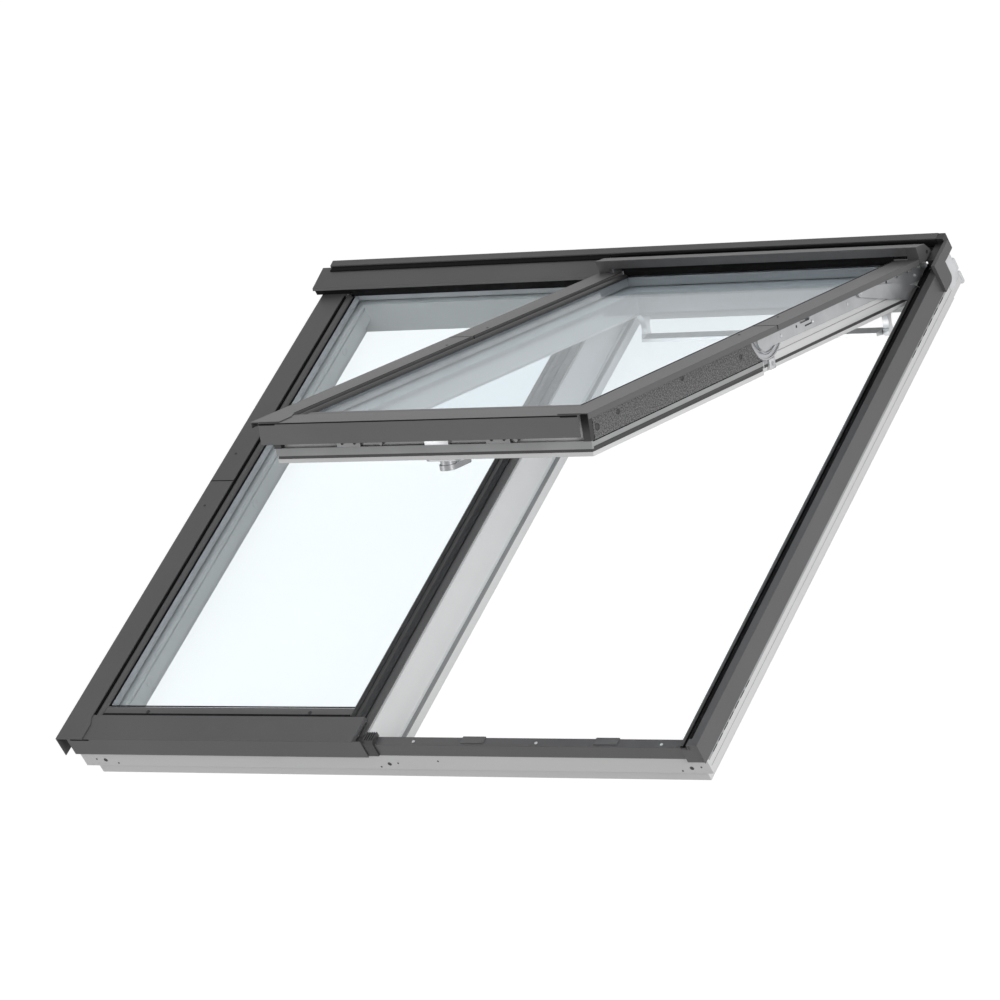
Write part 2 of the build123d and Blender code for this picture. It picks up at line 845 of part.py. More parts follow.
# Hinge brackets on the frame: a plate with the arm's pin and the lever's pin
plate_near = half_opening - bracket_thickness
arm_pin_near = arm_near - pin_end_gap
lever_pin_near = lever_near - pin_end_gap / 2
with BuildPart() as hinge_brackets:
    for side, sign in SIDES:
        plate = [
            (bracket_start, bracket_low),
            (bracket_step, bracket_low),
            (bracket_step, bracket_shelf),
            (bracket_end, bracket_shelf),
            (bracket_end, bracket_high),
            (bracket_start, bracket_high),
        ]
        extrude(across(plate, side_start(sign, plate_near, half_opening)), amount=bracket_thickness)
        with BuildSketch(Plane.YZ.offset(side_start(sign, arm_pin_near, plate_near))):
            with Locations((hinge_y, hinge_z)):
                Circle(pin_radius)
        extrude(amount=plate_near - arm_pin_near)
        with BuildSketch(Plane.YZ.offset(side_start(sign, lever_pin_near, plate_near))):
            with Locations((lever_y, lever_z)):
                Circle(pin_radius)
        extrude(amount=plate_near - lever_pin_near)
keep("hinge_brackets", hinge_brackets.part)

# Lift arms: a strip under the upper cover, an eye at the top hinge, a round end at the pivot
arm_top_clear = pivot_z - disc_drop
arm_end_radius = (arm_top_clear - arm_low) / 2
arm_end = pivot_y - arm_end_back
for side, sign in SIDES:
    with BuildPart() as lift_arm:
        with BuildSketch(Plane.YZ.offset(side_start(sign, arm_near, arm_far))):
            with Locations((arm_end, arm_low + arm_end_radius)):
                Circle(arm_end_radius)
            with BuildLine():
                Polyline(
                    (arm_end, arm_low),
                    (hinge_y, hinge_z - arm_eye),
                    (hinge_y, hinge_z + arm_eye),
                    (cover_upper_end + arm_neck, sash_upper_top),
                    (cover_upper_end, sash_upper_top),
                    (cover_upper_end, cover_under),
                    (pivot_y + seam_gap, cover_under),
                    (pivot_y + seam_gap, arm_top_clear),
                    (arm_end, arm_top_clear),
                    close=True,
                )
            make_face()
            with BuildLine():
                Polyline(
                    *rectangle(arm_ear_start, arm_ear_low, arm_ear_end, arm_ear_high),
                    close=True,
                )
            make_face()
            with Locations((hinge_y, hinge_z)):
                Circle(arm_eye)
                Circle(pin_radius + pin_clearance, mode=Mode.SUBTRACT)
            arm_middle = (arm_low + cover_under) / 2
            with Locations((pivot_y + arm_slot_rise, arm_middle)):
                SlotOverall(arm_slot_length, arm_slot_width, mode=Mode.SUBTRACT)
            with Locations((hinge_y - arm_hole_drop, arm_middle)):
                with GridLocations(arm_hole_pitch, arm_hole_pitch, arm_hole_count, 1):
                    Circle(arm_hole_radius, mode=Mode.SUBTRACT)
        extrude(amount=arm_thickness)
    keep_open(f"lift_arm_{side}", lift_arm.part)

# Curved tracks on the arms: two rails about the pivot line on a common back with a curved window
with BuildPart() as pivot_tracks:
    for side, sign in SIDES:
        with BuildSketch(Plane.YZ.offset(side_start(sign, arm_near - track_back, arm_near))):
            with Locations((pivot_y, pivot_z)):
                Circle(pivot_outer)
                Circle(pivot_inner, mode=Mode.SUBTRACT)
            with Locations((pivot_y, pivot_z - track_cut)):
                Rectangle(2 * pivot_outer, 2 * pivot_outer, align=(Align.CENTER, Align.MIN), mode=Mode.SUBTRACT)
        extrude(amount=track_back)
        with BuildSketch(Plane.YZ.offset(side_start(sign, arm_near - track_back, arm_near))):
            with Locations((pivot_y, pivot_z)):
                Circle(rail_pitch - track_window)
                Circle(pivot_inner + rail_width + track_window, mode=Mode.SUBTRACT)
            with Locations((pivot_y, pivot_z - track_cut - track_bridge)):
                Rectangle(2 * pivot_outer, 2 * pivot_outer, align=(Align.CENTER, Align.MIN), mode=Mode.SUBTRACT)
        extrude(amount=track_back, mode=Mode.SUBTRACT)
        with BuildSketch(Plane.YZ.offset(side_start(sign, track_near, arm_near - track_back))):
            with Locations((pivot_y, pivot_z)):
                Circle(pivot_outer)
                Circle(rail_pitch, mode=Mode.SUBTRACT)
                Circle(pivot_inner + rail_width)
                Circle(pivot_inner, mode=Mode.SUBTRACT)
            with Locations((pivot_y, pivot_z - track_cut)):
                Rectangle(2 * pivot_outer, 2 * pivot_outer, align=(Align.CENTER, Align.MIN), mode=Mode.SUBTRACT)
        extrude(amount=rail_depth)
keep_open("pivot_tracks", pivot_tracks.part)

# Curved shoes on the sash, which slide between the tracks' rails
shoe_far = arm_near - track_back - running_gap
with BuildPart() as pivot_shoes:
    for side, sign in SIDES:
        with BuildSketch(Plane.YZ.offset(side_start(sign, sash_half, shoe_far))):
            with Locations((pivot_y, pivot_z)):
                Circle(rail_pitch - running_gap)
                Circle(pivot_inner + rail_width + running_gap, mode=Mode.SUBTRACT)
            with Locations((pivot_y, pivot_z - shoe_cut)):
                Rectangle(2 * pivot_outer, 2 * pivot_outer, align=(Align.CENTER, Align.MIN), mode=Mode.SUBTRACT)
        extrude(amount=shoe_far - sash_half)
keep_open("pivot_shoes", pivot_shoes.part)

# Hood that lifts with the arms, between two moulded end caps
sash_hood_skin = [
    (sash_hood_back, sash_hood_low),
    (sash_hood_shoulder, sash_hood_shoulder_high),
    (sash_hood_crown, sash_hood_crown_high),
    (sash_hood_front, sash_hood_high),
    (sash_hood_foot, sash_hood_foot_high),
]
with BuildPart() as sash_hood:
    extrude(across(folded(sash_hood_skin), sash_centre - arm_far), amount=2 * arm_far)
keep_open("sash_hood", sash_hood.part)

with BuildPart() as hood_end_caps:
    cap_outline = sash_hood_skin[:-1] + [(top_edge - hood_cap_foot_drop, sash_hood_low)]
    for side, sign in SIDES:
        extrude(across(cap_outline, side_start(sign, arm_far, cover_half)), amount=cover_half - arm_far)
keep_open("hood_end_caps", hood_end_caps.part)

# Side covers of the sash: the lower ones swing with it, the upper ones stay on the arms
cover_section = folded(
    [
        (cover_half, cover_top - cover_flange),
        (cover_half, cover_top),
        (cover_inner, cover_top),
        (cover_inner, cover_top - cover_lip),
    ]
)
for side, sign in SIDES:
    section = beside(sign, cover_section)
    lower_end = pivot_y - seam_gap / 2
    lip = rectangle(cover_inner, cover_under - overrun - cover_lip, cover_inner + sheet, cover_under)
    lip_start = sash_cover_back + sheet
    with BuildPart() as lower_cover:
        extrude(along(section, lower_end), amount=lower_end - sash_side_bottom)
        extrude(along(beside(sign, lip), lip_start), amount=lip_start - sash_side_bottom, mode=Mode.SUBTRACT)
        foot = [
            (cover_inner, sash_side_bottom),
            (cover_inner - cover_foot, sash_side_bottom),
            (cover_inner - cover_foot, sash_side_bottom + foot_length - foot_slope),
            (cover_inner, sash_side_bottom + foot_length),
        ]
        extrude(flat(beside(sign, foot), cover_under), amount=sheet)
    keep_open(f"lower_cover_{side}", lower_cover.part)

    upper_start = pivot_y + seam_gap / 2
    with BuildPart() as upper_cover:
        extrude(along(section, cover_upper_end), amount=cover_upper_end - upper_start)
    keep_open(f"upper_cover_{side}", upper_cover.part)

# Spring levers, hinged on the frame and raised with the arms
lever_shift = Pos(0, lever_y, lever_z) * Rot(X=-lever_angle)
for side, sign in SIDES:
    with BuildPart() as spring_lever:
        with BuildSketch(Plane.YZ.offset(side_start(sign, lever_near, lever_far))):
            with BuildLine():
                Polyline(
                    (0, lever_root),
                    (-lever_length / 2, lever_crest),
                    (-lever_length, lever_tip),
                    (-lever_length, -lever_tip),
                    (-lever_length / 2, -lever_belly),
                    (0, -lever_root),
                    close=True,
                )
            make_face()
            Circle(lever_root)
            with Locations((-lever_length, 0)):
                Circle(lever_tip)
            Circle(pin_radius + pin_clearance, mode=Mode.SUBTRACT)
        extrude(amount=lever_thickness)
        boss_near = arm_far + lever_boss_gap
        with BuildSketch(Plane.YZ.offset(side_start(sign, boss_near, lever_near))):
            with Locations((-lever_length, 0)):
                Circle(lever_boss_radius)
        extrude(amount=lever_near - boss_near)
    keep(f"spring_lever_{side}", spring_lever.part.moved(lever_shift))

# Stiles of the sash: a high upstand under the lower cover, a low one inside the arm, a lip at the foot
foot_end = sash_cover_back + sheet
loop_end = pivot_y - strip_start_drop
lip_tip = sash_bottom - sash_lip_front
lip_height = sash_lip_top - sash_room_face
for side, sign in SIDES:
    with BuildPart() as sash_stile_part:
        room_side = [
            (sash_inner + sash_edge_chamfer, sash_room_face),
            (sash_half, sash_room_face),
        ]
        glass_side = [
            (sash_rebate, sash_seat_face),
            (sash_inner, sash_seat_face),
            (sash_inner, sash_room_face + sash_edge_chamfer),
        ]
        spans = (
            (sash_bottom, foot_end, plate_under),
            (foot_end, pivot_y - seam_gap, cover_under),
            (pivot_y - seam_gap, sash_top, sash_upper_top),
        )
        for y_low, y_high, upstand_top in spans:
            upstand = [(sash_half, upstand_top), (sash_rebate, upstand_top)]
            section = beside(sign, room_side + upstand + glass_side)
            extrude(along(section, y_high), amount=y_high - y_low)
        lip = [
            (sash_half, loop_end),
            (sash_half + sash_lip_out, loop_end),
            (sash_half + sash_lip_out, lip_tip),
            (sash_inner, lip_tip),
            (sash_inner, sash_bottom),
            (sash_half, sash_bottom),
        ]
        extrude(flat(beside(sign, lip), sash_room_face), amount=lip_height)
    keep_open(f"sash_{side}_stile", sash_stile_part.part)

# Rails of the sash
rail_bottom_inner = sash_bottom + sash_stile
with BuildPart() as sash_bottom_rail:
    section = [
        (lip_tip, sash_room_face),
        (rail_bottom_inner - sash_edge_chamfer, sash_room_face),
        (rail_bottom_inner, sash_room_face + sash_edge_chamfer),
        (rail_bottom_inner, sash_seat_face),
        (sash_bottom + sash_upstand, sash_seat_face),
        (sash_bottom + sash_upstand, plate_under),
        (sash_bottom, plate_under),
        (sash_bottom, sash_lip_top),
        (lip_tip, sash_lip_top),
    ]
    extrude(across(section, sash_centre - sash_inner), amount=2 * sash_inner)
keep_open("sash_bottom_rail", sash_bottom_rail.part)

rail_top_inner = sash_top - sash_stile
with BuildPart() as sash_top_rail:
    section = [
        (sash_top, sash_room_face),
        (sash_top, sash_upper_top),
        (sash_top - sash_upstand, sash_upper_top),
        (sash_top - sash_upstand, sash_seat_face),
        (rail_top_inner, sash_seat_face),
        (rail_top_inner, sash_room_face + sash_edge_chamfer),
        (rail_top_inner + sash_edge_chamfer, sash_room_face),
    ]
    extrude(across(section, sash_centre - sash_inner), amount=2 * sash_inner)
keep_open("sash_top_rail", sash_top_rail.part)

# Glazing unit of the sash
sash_glass_half = sash_rebate - sash_glass_gap
sash_glass_low = sash_bottom + sash_upstand + sash_glass_gap
sash_glass_high = sash_top - sash_upstand - sash_glass_gap
sash_unit = rectangle(
    sash_centre - sash_glass_half, sash_glass_low, sash_centre + sash_glass_half, sash_glass_high
)
with BuildPart() as sash_inner_pane:
    extrude(flat(sash_unit, sash_glass_seat), amount=pane)
keep_open("sash_inner_pane", sash_inner_pane.part)

with BuildPart() as sash_outer_pane:
    extrude(flat(sash_unit, sash_glass_seat + pane + cavity), amount=pane)
keep_open("sash_outer_pane", sash_outer_pane.part)

with BuildPart() as sash_spacer:
    extrude(flat(sash_unit, sash_glass_seat + pane), amount=cavity)
    daylight = rectangle(
        sash_centre - sash_glass_half + spacer_width,
        sash_glass_low + spacer_width,
        sash_centre + sash_glass_half - spacer_width,
        sash_glass_high - spacer_width,
    )
    extrude(flat(daylight, sash_glass_seat + pane), amount=cavity, mode=Mode.SUBTRACT)
keep_open("sash_spacer", sash_spacer.part)

# Seal on the glass along the sides and the top with a ridge on each side, bead along the bottom
seal_outer_half = sash_glass_half
seal_inner_half = seal_outer_half - seal_width
seal_start = sash_bottom + seal_end
ridge_outer = seal_inner_half + seal_ridge_gap
ridge_end = top_edge - seal_ridge_drop
with BuildPart() as sash_seal:
    ring_outer = rectangle(
        sash_centre - seal_outer_half, seal_start, sash_centre + seal_outer_half, sash_glass_high
    )
    ring_inner = rectangle(
        sash_centre - seal_inner_half,
        seal_start - overrun,
        sash_centre + seal_inner_half,
        sash_glass_high - seal_width,
    )
    extrude(flat(ring_outer, sash_glass_face), amount=seal_height)
    extrude(flat(ring_inner, sash_glass_face), amount=seal_height, mode=Mode.SUBTRACT)
    ridge = scaled(ridge_shares, ridge_outer, -seal_ridge_width, sash_glass_face, seal_ridge_height)
    for side, sign in SIDES:
        extrude(along(beside(sign, ridge), ridge_end), amount=ridge_end - seal_start)
keep_open("sash_seal", sash_seal.part)

with BuildPart() as sash_bead:
    ridge = scaled(ridge_shares, sash_bottom + bead_top_gap, bead_sash_width, sash_glass_face, bead_sash_height)
    bead_half = ridge_outer - seal_ridge_width - seam_gap
    extrude(across(ridge, sash_centre - bead_half), amount=2 * bead_half)
keep_open("sash_bottom_bead", sash_bead.part)

# Cover along the bottom of the sash
with BuildPart() as sash_bottom_cover:
    skin = [
        (sash_cover_back, cover_under),
        (sash_cover_front, cover_under),
        (sash_cover_front, sash_cover_low),
    ]
    extrude(across(folded(skin), sash_centre - sash_cover_half), amount=2 * sash_cover_half)
    lip = rectangle(sash_cover_back - sheet, cover_under - sash_cover_lip, sash_cover_back, plate_under)
    lip_half = sash_rebate - seam_gap
    extrude(across(lip, sash_centre - lip_half), amount=2 * lip_half)
keep_open("sash_bottom_cover", sash_bottom_cover.part)

# Insulation along the lower half of each side, rounded out beside the pivot
with BuildPart() as insulation_strips:
    strip = rectangle(
        sash_bottom + insulation_inset, insulation_low, pivot_y - insulation_start, insulation_high
    )
    for side, sign in SIDES:
        strip_start = side_start(sign, sash_half, sash_half + insulation)
        extrude(across(strip, strip_start), amount=insulation)
        with BuildSketch(Plane.YZ.offset(strip_start)):
            with Locations((pivot_y, pivot_z)):
                Circle(pivot_outer + insulation_notch)
        extrude(amount=insulation, mode=Mode.SUBTRACT)
keep_open("insulation_strips", insulation_strips.part)


def edge_loop(side_out, root, tip):
    """U-shaped outline that wraps one end of the sash and its two sides."""
    return [
        (sash_centre - sash_half, loop_end),
        (sash_centre - sash_half - side_out, loop_end),
        (sash_centre - sash_half - side_out, tip),
        (sash_centre + sash_half + side_out, tip),
        (sash_centre + sash_half + side_out, loop_end),
        (sash_centre + sash_half, loop_end),
        (sash_centre + sash_half, root),
        (sash_centre - sash_half, root),
    ]


# Light edge strip and dark gasket around the sash, broad along the lower half and thin along the upper one
upper_loop = edge_loop(strip_upper, sash_top, sash_top + strip_upper)
with BuildPart() as sash_edge_strip:
    strip_height = insulation_low - strip_low
    lower_loop = edge_loop(strip_out, sash_bottom, sash_bottom - strip_front)
    extrude(flat(lower_loop, strip_low), amount=strip_height)
    extrude(flat(upper_loop, strip_low), amount=strip_height)
keep_open("sash_edge_strip", sash_edge_strip.part)

with BuildPart() as sash_gasket:
    gasket_height = strip_low - sash_lip_top
    lower_loop = edge_loop(gasket_out, sash_bottom, sash_bottom - gasket_front)
    extrude(flat(lower_loop, sash_lip_top), amount=gasket_height)
    extrude(flat(upper_loop, sash_lip_top), amount=gasket_height)
keep_open("sash_gasket", sash_gasket.part)

# Blocks that close the sash's lower corners
with BuildPart() as sash_corner_blocks:
    block = rectangle(sash_bottom - corner_block_front, insulation_low, sash_bottom, corner_block_top)
    block_far = sash_half + corner_block_out
    for side, sign in SIDES:
        extrude(across(block, side_start(sign, sash_half, block_far)), amount=corner_block_out)
keep_open("sash_corner_blocks", sash_corner_blocks.part)

# Lock on the bottom rail: two cases on a sliding rod, with a stud for each keep
with BuildPart() as lock_bolts:
    for lock_place in (lock_left, lock_right):
        case = rectangle(sash_bottom - strip_front, lock_low, sash_bottom, lock_high)
        extrude(across(case, sash_centre + lock_place - lock_length / 2), amount=lock_length)
    rod = rectangle(sash_bottom - rod_depth, rod_low, sash_bottom, rod_high)
    rod_start = sash_centre + lock_left
    extrude(across(rod, rod_start), amount=sash_centre + keep_right + stud_radius - rod_start)
    with BuildSketch(Plane.XZ.offset(rod_depth - sash_bottom)):
        with Locations(*[(sash_centre + place, (rod_low + rod_high) / 2) for place in (keep_left, keep_right)]):
            Circle(stud_radius)
    extrude(amount=strip_front - rod_depth)
keep_open("lock_bolts", lock_bolts.part)

# Handle on the bottom rail: a base plate and a turning grip
handle_y = sash_bottom + sash_stile / 2
hub_face = sash_room_face - handle_base_height
with BuildPart() as handle_base:
    with BuildSketch(Plane.XY.offset(hub_face)):
        with Locations((sash_centre, handle_y)):
            SlotOverall(handle_base_length, handle_base_width)
    extrude(amount=handle_base_height)
    with BuildSketch(Plane.XY.offset(hub_face - handle_hub_height / 2)):
        with Locations((sash_centre, handle_y)):
            Circle(handle_spindle_radius)
    extrude(amount=handle_hub_height / 2)
keep_open("handle_base", handle_base.part)

grip_face = hub_face - handle_clearance - handle_hub_height
with BuildPart() as handle_grip:
    with BuildSketch(Plane.XY.offset(grip_face)):
        with Locations((sash_centre, handle_y)):
            Circle(handle_hub_radius)
    extrude(amount=handle_hub_height)
    with BuildSketch(Plane.XY.offset(grip_face)):
        with Locations((sash_centre, handle_y + handle_grip_length / 2)):
            SlotOverall(handle_grip_length + handle_grip_width, handle_grip_width, rotation=90)
    extrude(amount=handle_grip_thickness)
    with BuildSketch(Plane.XY.offset(hub_face - handle_hub_height / 2 - handle_clearance)):
        with Locations((sash_centre, handle_y)):
            Circle(handle_spindle_radius + pin_clearance)
    extrude(amount=handle_hub_height, mode=Mode.SUBTRACT)
keep_open("handle_grip", handle_grip.part)

# Vent bar under the top rail, hung between two brackets
vent_y = sash_top - vent_axis_setback
vent_z = sash_room_face - vent_axis_drop
with BuildPart() as vent_brackets:
    for side, sign in SIDES:
        with BuildSketch(Plane.YZ.offset(side_start(sign, vent_half, vent_half + vent_bracket))):
            with BuildLine():
                foot_back = (vent_y + vent_bracket_foot / 2, sash_room_face)
                foot_front = (vent_y - vent_bracket_foot / 2, sash_room_face)
                eye_front = (vent_y - vent_bracket_width / 2, vent_z)
                eye_back = (vent_y + vent_bracket_width / 2, vent_z)
                waist_z = (sash_room_face + vent_z) / 2
                Line(foot_back, foot_front)
                ThreePointArc(foot_front, (vent_y - vent_bracket_waist / 2, waist_z), eye_front)
                Line(eye_front, eye_back)
                ThreePointArc(eye_back, (vent_y + vent_bracket_waist / 2, waist_z), foot_back)
            make_face()
            with Locations((vent_y, vent_z)):
                Circle(vent_bracket_width / 2)
        extrude(amount=vent_bracket)
        pin_near = vent_half - vent_bracket
        with BuildSketch(Plane.YZ.offset(side_start(sign, pin_near, vent_half))):
            with Locations((vent_y, vent_z)):
                Circle(vent_pin_radius)
        extrude(amount=vent_bracket)
keep_open("vent_bar_brackets", vent_brackets.part)

vent_bar_half = vent_half - vent_end_gap
with BuildPart() as vent_bar:
    with BuildSketch(Plane.YZ.offset(sash_centre - vent_bar_half)):
        with BuildLine():
            Polyline(
                (vent_y, vent_z + vent_bar_height / 2),
                (vent_y - vent_bar_depth, vent_z + vent_bar_height / 4),
                (vent_y - vent_bar_depth, vent_z - vent_bar_height / 4),
                (vent_y, vent_z - vent_bar_height / 2),
                close=True,
            )
        make_face()
        with Locations((vent_y, vent_z)):
            Circle(vent_bar_height / 2)
            Circle(vent_pin_radius + pin_clearance, mode=Mode.SUBTRACT)
    extrude(amount=2 * vent_bar_half)
keep_open("vent_bar", vent_bar.part)
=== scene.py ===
"""Roof window with a fixed light and a raised top-hung sash, dressed for a studio picture."""

import json
import logging
import math
from dataclasses import dataclass
from enum import Enum
from typing import ClassVar

import bmesh
import bpy
from mathutils import Matrix, Vector


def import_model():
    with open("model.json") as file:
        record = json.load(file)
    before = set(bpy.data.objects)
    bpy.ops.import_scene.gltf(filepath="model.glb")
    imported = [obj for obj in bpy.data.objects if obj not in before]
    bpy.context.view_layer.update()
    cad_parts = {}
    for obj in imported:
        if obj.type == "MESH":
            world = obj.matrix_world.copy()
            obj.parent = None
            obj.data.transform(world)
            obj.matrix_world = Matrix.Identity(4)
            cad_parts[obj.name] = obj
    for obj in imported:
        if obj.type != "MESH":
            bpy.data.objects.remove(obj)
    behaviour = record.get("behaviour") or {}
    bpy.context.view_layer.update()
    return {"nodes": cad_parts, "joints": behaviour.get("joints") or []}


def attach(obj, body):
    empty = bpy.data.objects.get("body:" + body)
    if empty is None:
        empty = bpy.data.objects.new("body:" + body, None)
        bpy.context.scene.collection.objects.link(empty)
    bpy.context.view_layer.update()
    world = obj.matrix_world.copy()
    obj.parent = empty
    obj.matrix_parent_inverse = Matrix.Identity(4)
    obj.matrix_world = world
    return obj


LOG = logging.getLogger("roof_window")
MM = 0.001
LINE_EASE = 0.1
WHITE = (1.0, 1.0, 1.0, 1.0)
Pair = tuple[float, float]
Point = tuple[float, float, float]
Colour = tuple[float, float, float]


class Body(Enum):
    """Rigid bodies of the window that carry trim."""

    FRAME = "frame"
    LIFT_ARMS = "lift_arms"
    SPRING_LEVERS = "spring_levers"
    SASH = "sash"


class Axis(Enum):
    """Direction in which a finish runs along its piece."""

    ACROSS = 0
    SLOPE = 1


class ShaderTree:
    """Node tree of one material, built around its Principled shader."""

    def __init__(self, name: str) -> None:
        """Start an empty finish.

        Args:
            name: Name of the material.
        """
        self.material = bpy.data.materials.new(name)
        self.material.use_nodes = True
        self.tree = self.material.node_tree
        self.shader = self.tree.nodes["Principled BSDF"]

    def node(self, kind: str, **settings: object) -> bpy.types.Node:
        """Add a node.

        Args:
            kind: Blender's node type.
            settings: Properties of the node, by name.

        Returns:
            The new node.
        """
        node = self.tree.nodes.new(kind)
        for key, value in settings.items():
            setattr(node, key, value)
        return node

    def link(self, source: bpy.types.NodeSocket, target: bpy.types.NodeSocket) -> None:
        """Join two sockets.

        Args:
            source: Output socket.
            target: Input socket.
        """
        self.tree.links.new(source, target)

    def set(self, **values: object) -> None:
        """Set inputs of the Principled shader.

        Args:
            values: Input values, by input name with underscores for spaces.
        """
        for key, value in values.items():
            self.shader.inputs[key.replace("_", " ")].default_value = value

    def place(self, stretch: Point) -> bpy.types.NodeSocket:
        """Object coordinates, stretched along the piece.

        Args:
            stretch: Scale along X, Y and Z.

        Returns:
            The vector socket to feed a texture with.
        """
        coordinates = self.node("ShaderNodeTexCoord")
        mapping = self.node("ShaderNodeMapping")
        mapping.inputs["Scale"].default_value = stretch
        self.link(coordinates.outputs["Object"], mapping.inputs["Vector"])
        return mapping.outputs["Vector"]

    def noise(
        self, scale: float, detail: float, stretch: Point = (1.0, 1.0, 1.0)
    ) -> bpy.types.NodeSocket:
        """Noise over the piece.

        Args:
            scale: Noise scale, in cycles per metre.
            detail: Octaves of detail.
            stretch: Scale of the coordinates along X, Y and Z.

        Returns:
            The noise's value socket.
        """
        texture = self.node("ShaderNodeTexNoise")
        texture.inputs["Scale"].default_value = scale
        texture.inputs["Detail"].default_value = detail
        self.link(self.place(stretch), texture.inputs["Vector"])
        return texture.outputs["Fac"]

    def ramp(
        self,
        value: bpy.types.NodeSocket,
        low: Colour,
        high: Colour,
        spread: Pair = (0.3, 0.7),
    ) -> bpy.types.NodeSocket:
        """Colour between two shades.

        Args:
            value: Value that picks the shade.
            low: Colour at the low end.
            high: Colour at the high end.
            spread: Places of the two ends along the value.

        Returns:
            The colour socket.
        """
        ramp = self.node("ShaderNodeValToRGB")
        ramp.color_ramp.elements[0].position = spread[0]
        ramp.color_ramp.elements[0].color = (*low, 1.0)
        ramp.color_ramp.elements[1].position = spread[1]
        ramp.color_ramp.elements[1].color = (*high, 1.0)
        self.link(value, ramp.inputs["Fac"])
        return ramp.outputs["Color"]

    def vary_roughness(self, value: bpy.types.NodeSocket, low: float, high: float) -> None:
        """Let the roughness follow a texture.

        Args:
            value: Value socket of the texture.
            low: Roughness where the value is 0.
            high: Roughness where the value is 1.
        """
        spread = self.node("ShaderNodeMapRange")
        spread.inputs["To Min"].default_value = low
        spread.inputs["To Max"].default_value = high
        self.link(value, spread.inputs["Value"])
        self.link(spread.outputs["Result"], self.shader.inputs["Roughness"])

    def relief(self, value: bpy.types.NodeSocket, strength: float, depth: float, edge: float) -> None:
        """Raise a fine relief and ease the sharp edges.

        Args:
            value: Height texture.
            strength: Strength of the relief.
            depth: Height of the relief, in metres.
            edge: Radius that eases the piece's edges, in metres.
        """
        bump = self.node("ShaderNodeBump")
        bump.inputs["Strength"].default_value = strength
        bump.inputs["Distance"].default_value = depth
        soft_edge = self.node("ShaderNodeBevel", samples=4)
        soft_edge.inputs["Radius"].default_value = edge
        self.link(value, bump.inputs["Height"])
        self.link(soft_edge.outputs["Normal"], bump.inputs["Normal"])
        self.link(bump.outputs["Normal"], self.shader.inputs["Normal"])


@dataclass(frozen=True)
class WhitePaint:
    """Sprayed white paint on wood, with a trace of the grain under it."""

    name: str
    shade: float
    grain: Axis
    roughness: float = 0.42

    def material(self) -> bpy.types.Material:
        """Build the finish.

        Returns:
            The material.
        """
        tree = ShaderTree(self.name)
        stretch = (3.0, 60.0, 60.0) if self.grain is Axis.ACROSS else (60.0, 3.0, 60.0)
        grain = tree.noise(scale=6.0, detail=6.0, stretch=stretch)
        mottle = tree.noise(scale=9.0, detail=3.0)
        low = (self.shade * 0.972, self.shade * 0.974, self.shade * 0.972)
        high = (self.shade, self.shade * 1.002, self.shade)
        tree.link(tree.ramp(mottle, low, high), tree.shader.inputs["Base Color"])
        tree.vary_roughness(grain, self.roughness - 0.06, self.roughness + 0.08)
        tree.relief(grain, strength=0.18, depth=0.0002, edge=0.0012)
        tree.set(Specular_IOR_Level=0.4)
        return tree.material


@dataclass(frozen=True)
class Lacquer:
    """Matt dark lacquer on folded sheet metal, with a fine powder texture."""

    name: str
    shade: Colour
    roughness: float = 0.46
    texture: float = 0.22
    edge: float = 0.0012

    def material(self) -> bpy.types.Material:
        """Build the finish.

        Returns:
            The material.
        """
        tree = ShaderTree(self.name)
        cloud = tree.noise(scale=5.0, detail=4.0)
        grain = tree.noise(scale=900.0, detail=2.0)
        low = tuple(channel * 0.9 for channel in self.shade)
        high = tuple(channel * 1.08 for channel in self.shade)
        tree.link(tree.ramp(cloud, low, high), tree.shader.inputs["Base Color"])
        tree.vary_roughness(grain, self.roughness - 0.07, self.roughness + 0.07)
        tree.relief(grain, strength=self.texture, depth=0.0002, edge=self.edge)
        tree.set(Metallic=0.0, Specular_IOR_Level=0.5)
        return tree.material


@dataclass(frozen=True)
class ClearGlass:
    """Float glass with the faint tint of a coated double-glazing unit; a deeper tint also paints shade on
    what is seen through it.
    """

    name: str
    tint: Colour

    def material(self) -> bpy.types.Material:
        """Build the finish.

        Returns:
            The material.
        """
        tree = ShaderTree(self.name)
        haze = tree.noise(scale=3.0, detail=2.0)
        low = tuple(channel * 0.992 for channel in self.tint)
        tree.link(tree.ramp(haze, low, self.tint), tree.shader.inputs["Base Color"])
        tree.set(Roughness=0.0, IOR=1.05, Transmission_Weight=1.0)
        return tree.material


@dataclass(frozen=True)
class Moulding:
    """Rubber or moulded plastic with a fine matt skin."""

    name: str
    shade: Colour
    roughness: float
    grain: float = 420.0
    depth: float = 0.25
    shine: float = 0.5

    def material(self) -> bpy.types.Material:
        """Build the finish.

        Returns:
            The material.
        """
        tree = ShaderTree(self.name)
        cloud = tree.noise(scale=14.0, detail=3.0)
        skin = tree.noise(scale=self.grain, detail=3.0)
        low = tuple(channel * 0.85 for channel in self.shade)
        tree.link(tree.ramp(cloud, low, self.shade), tree.shader.inputs["Base Color"])
        tree.vary_roughness(skin, self.roughness - 0.06, self.roughness + 0.08)
        tree.relief(skin, strength=self.depth, depth=0.0002, edge=0.0006)
        tree.set(Specular_IOR_Level=self.shine)
        return tree.material


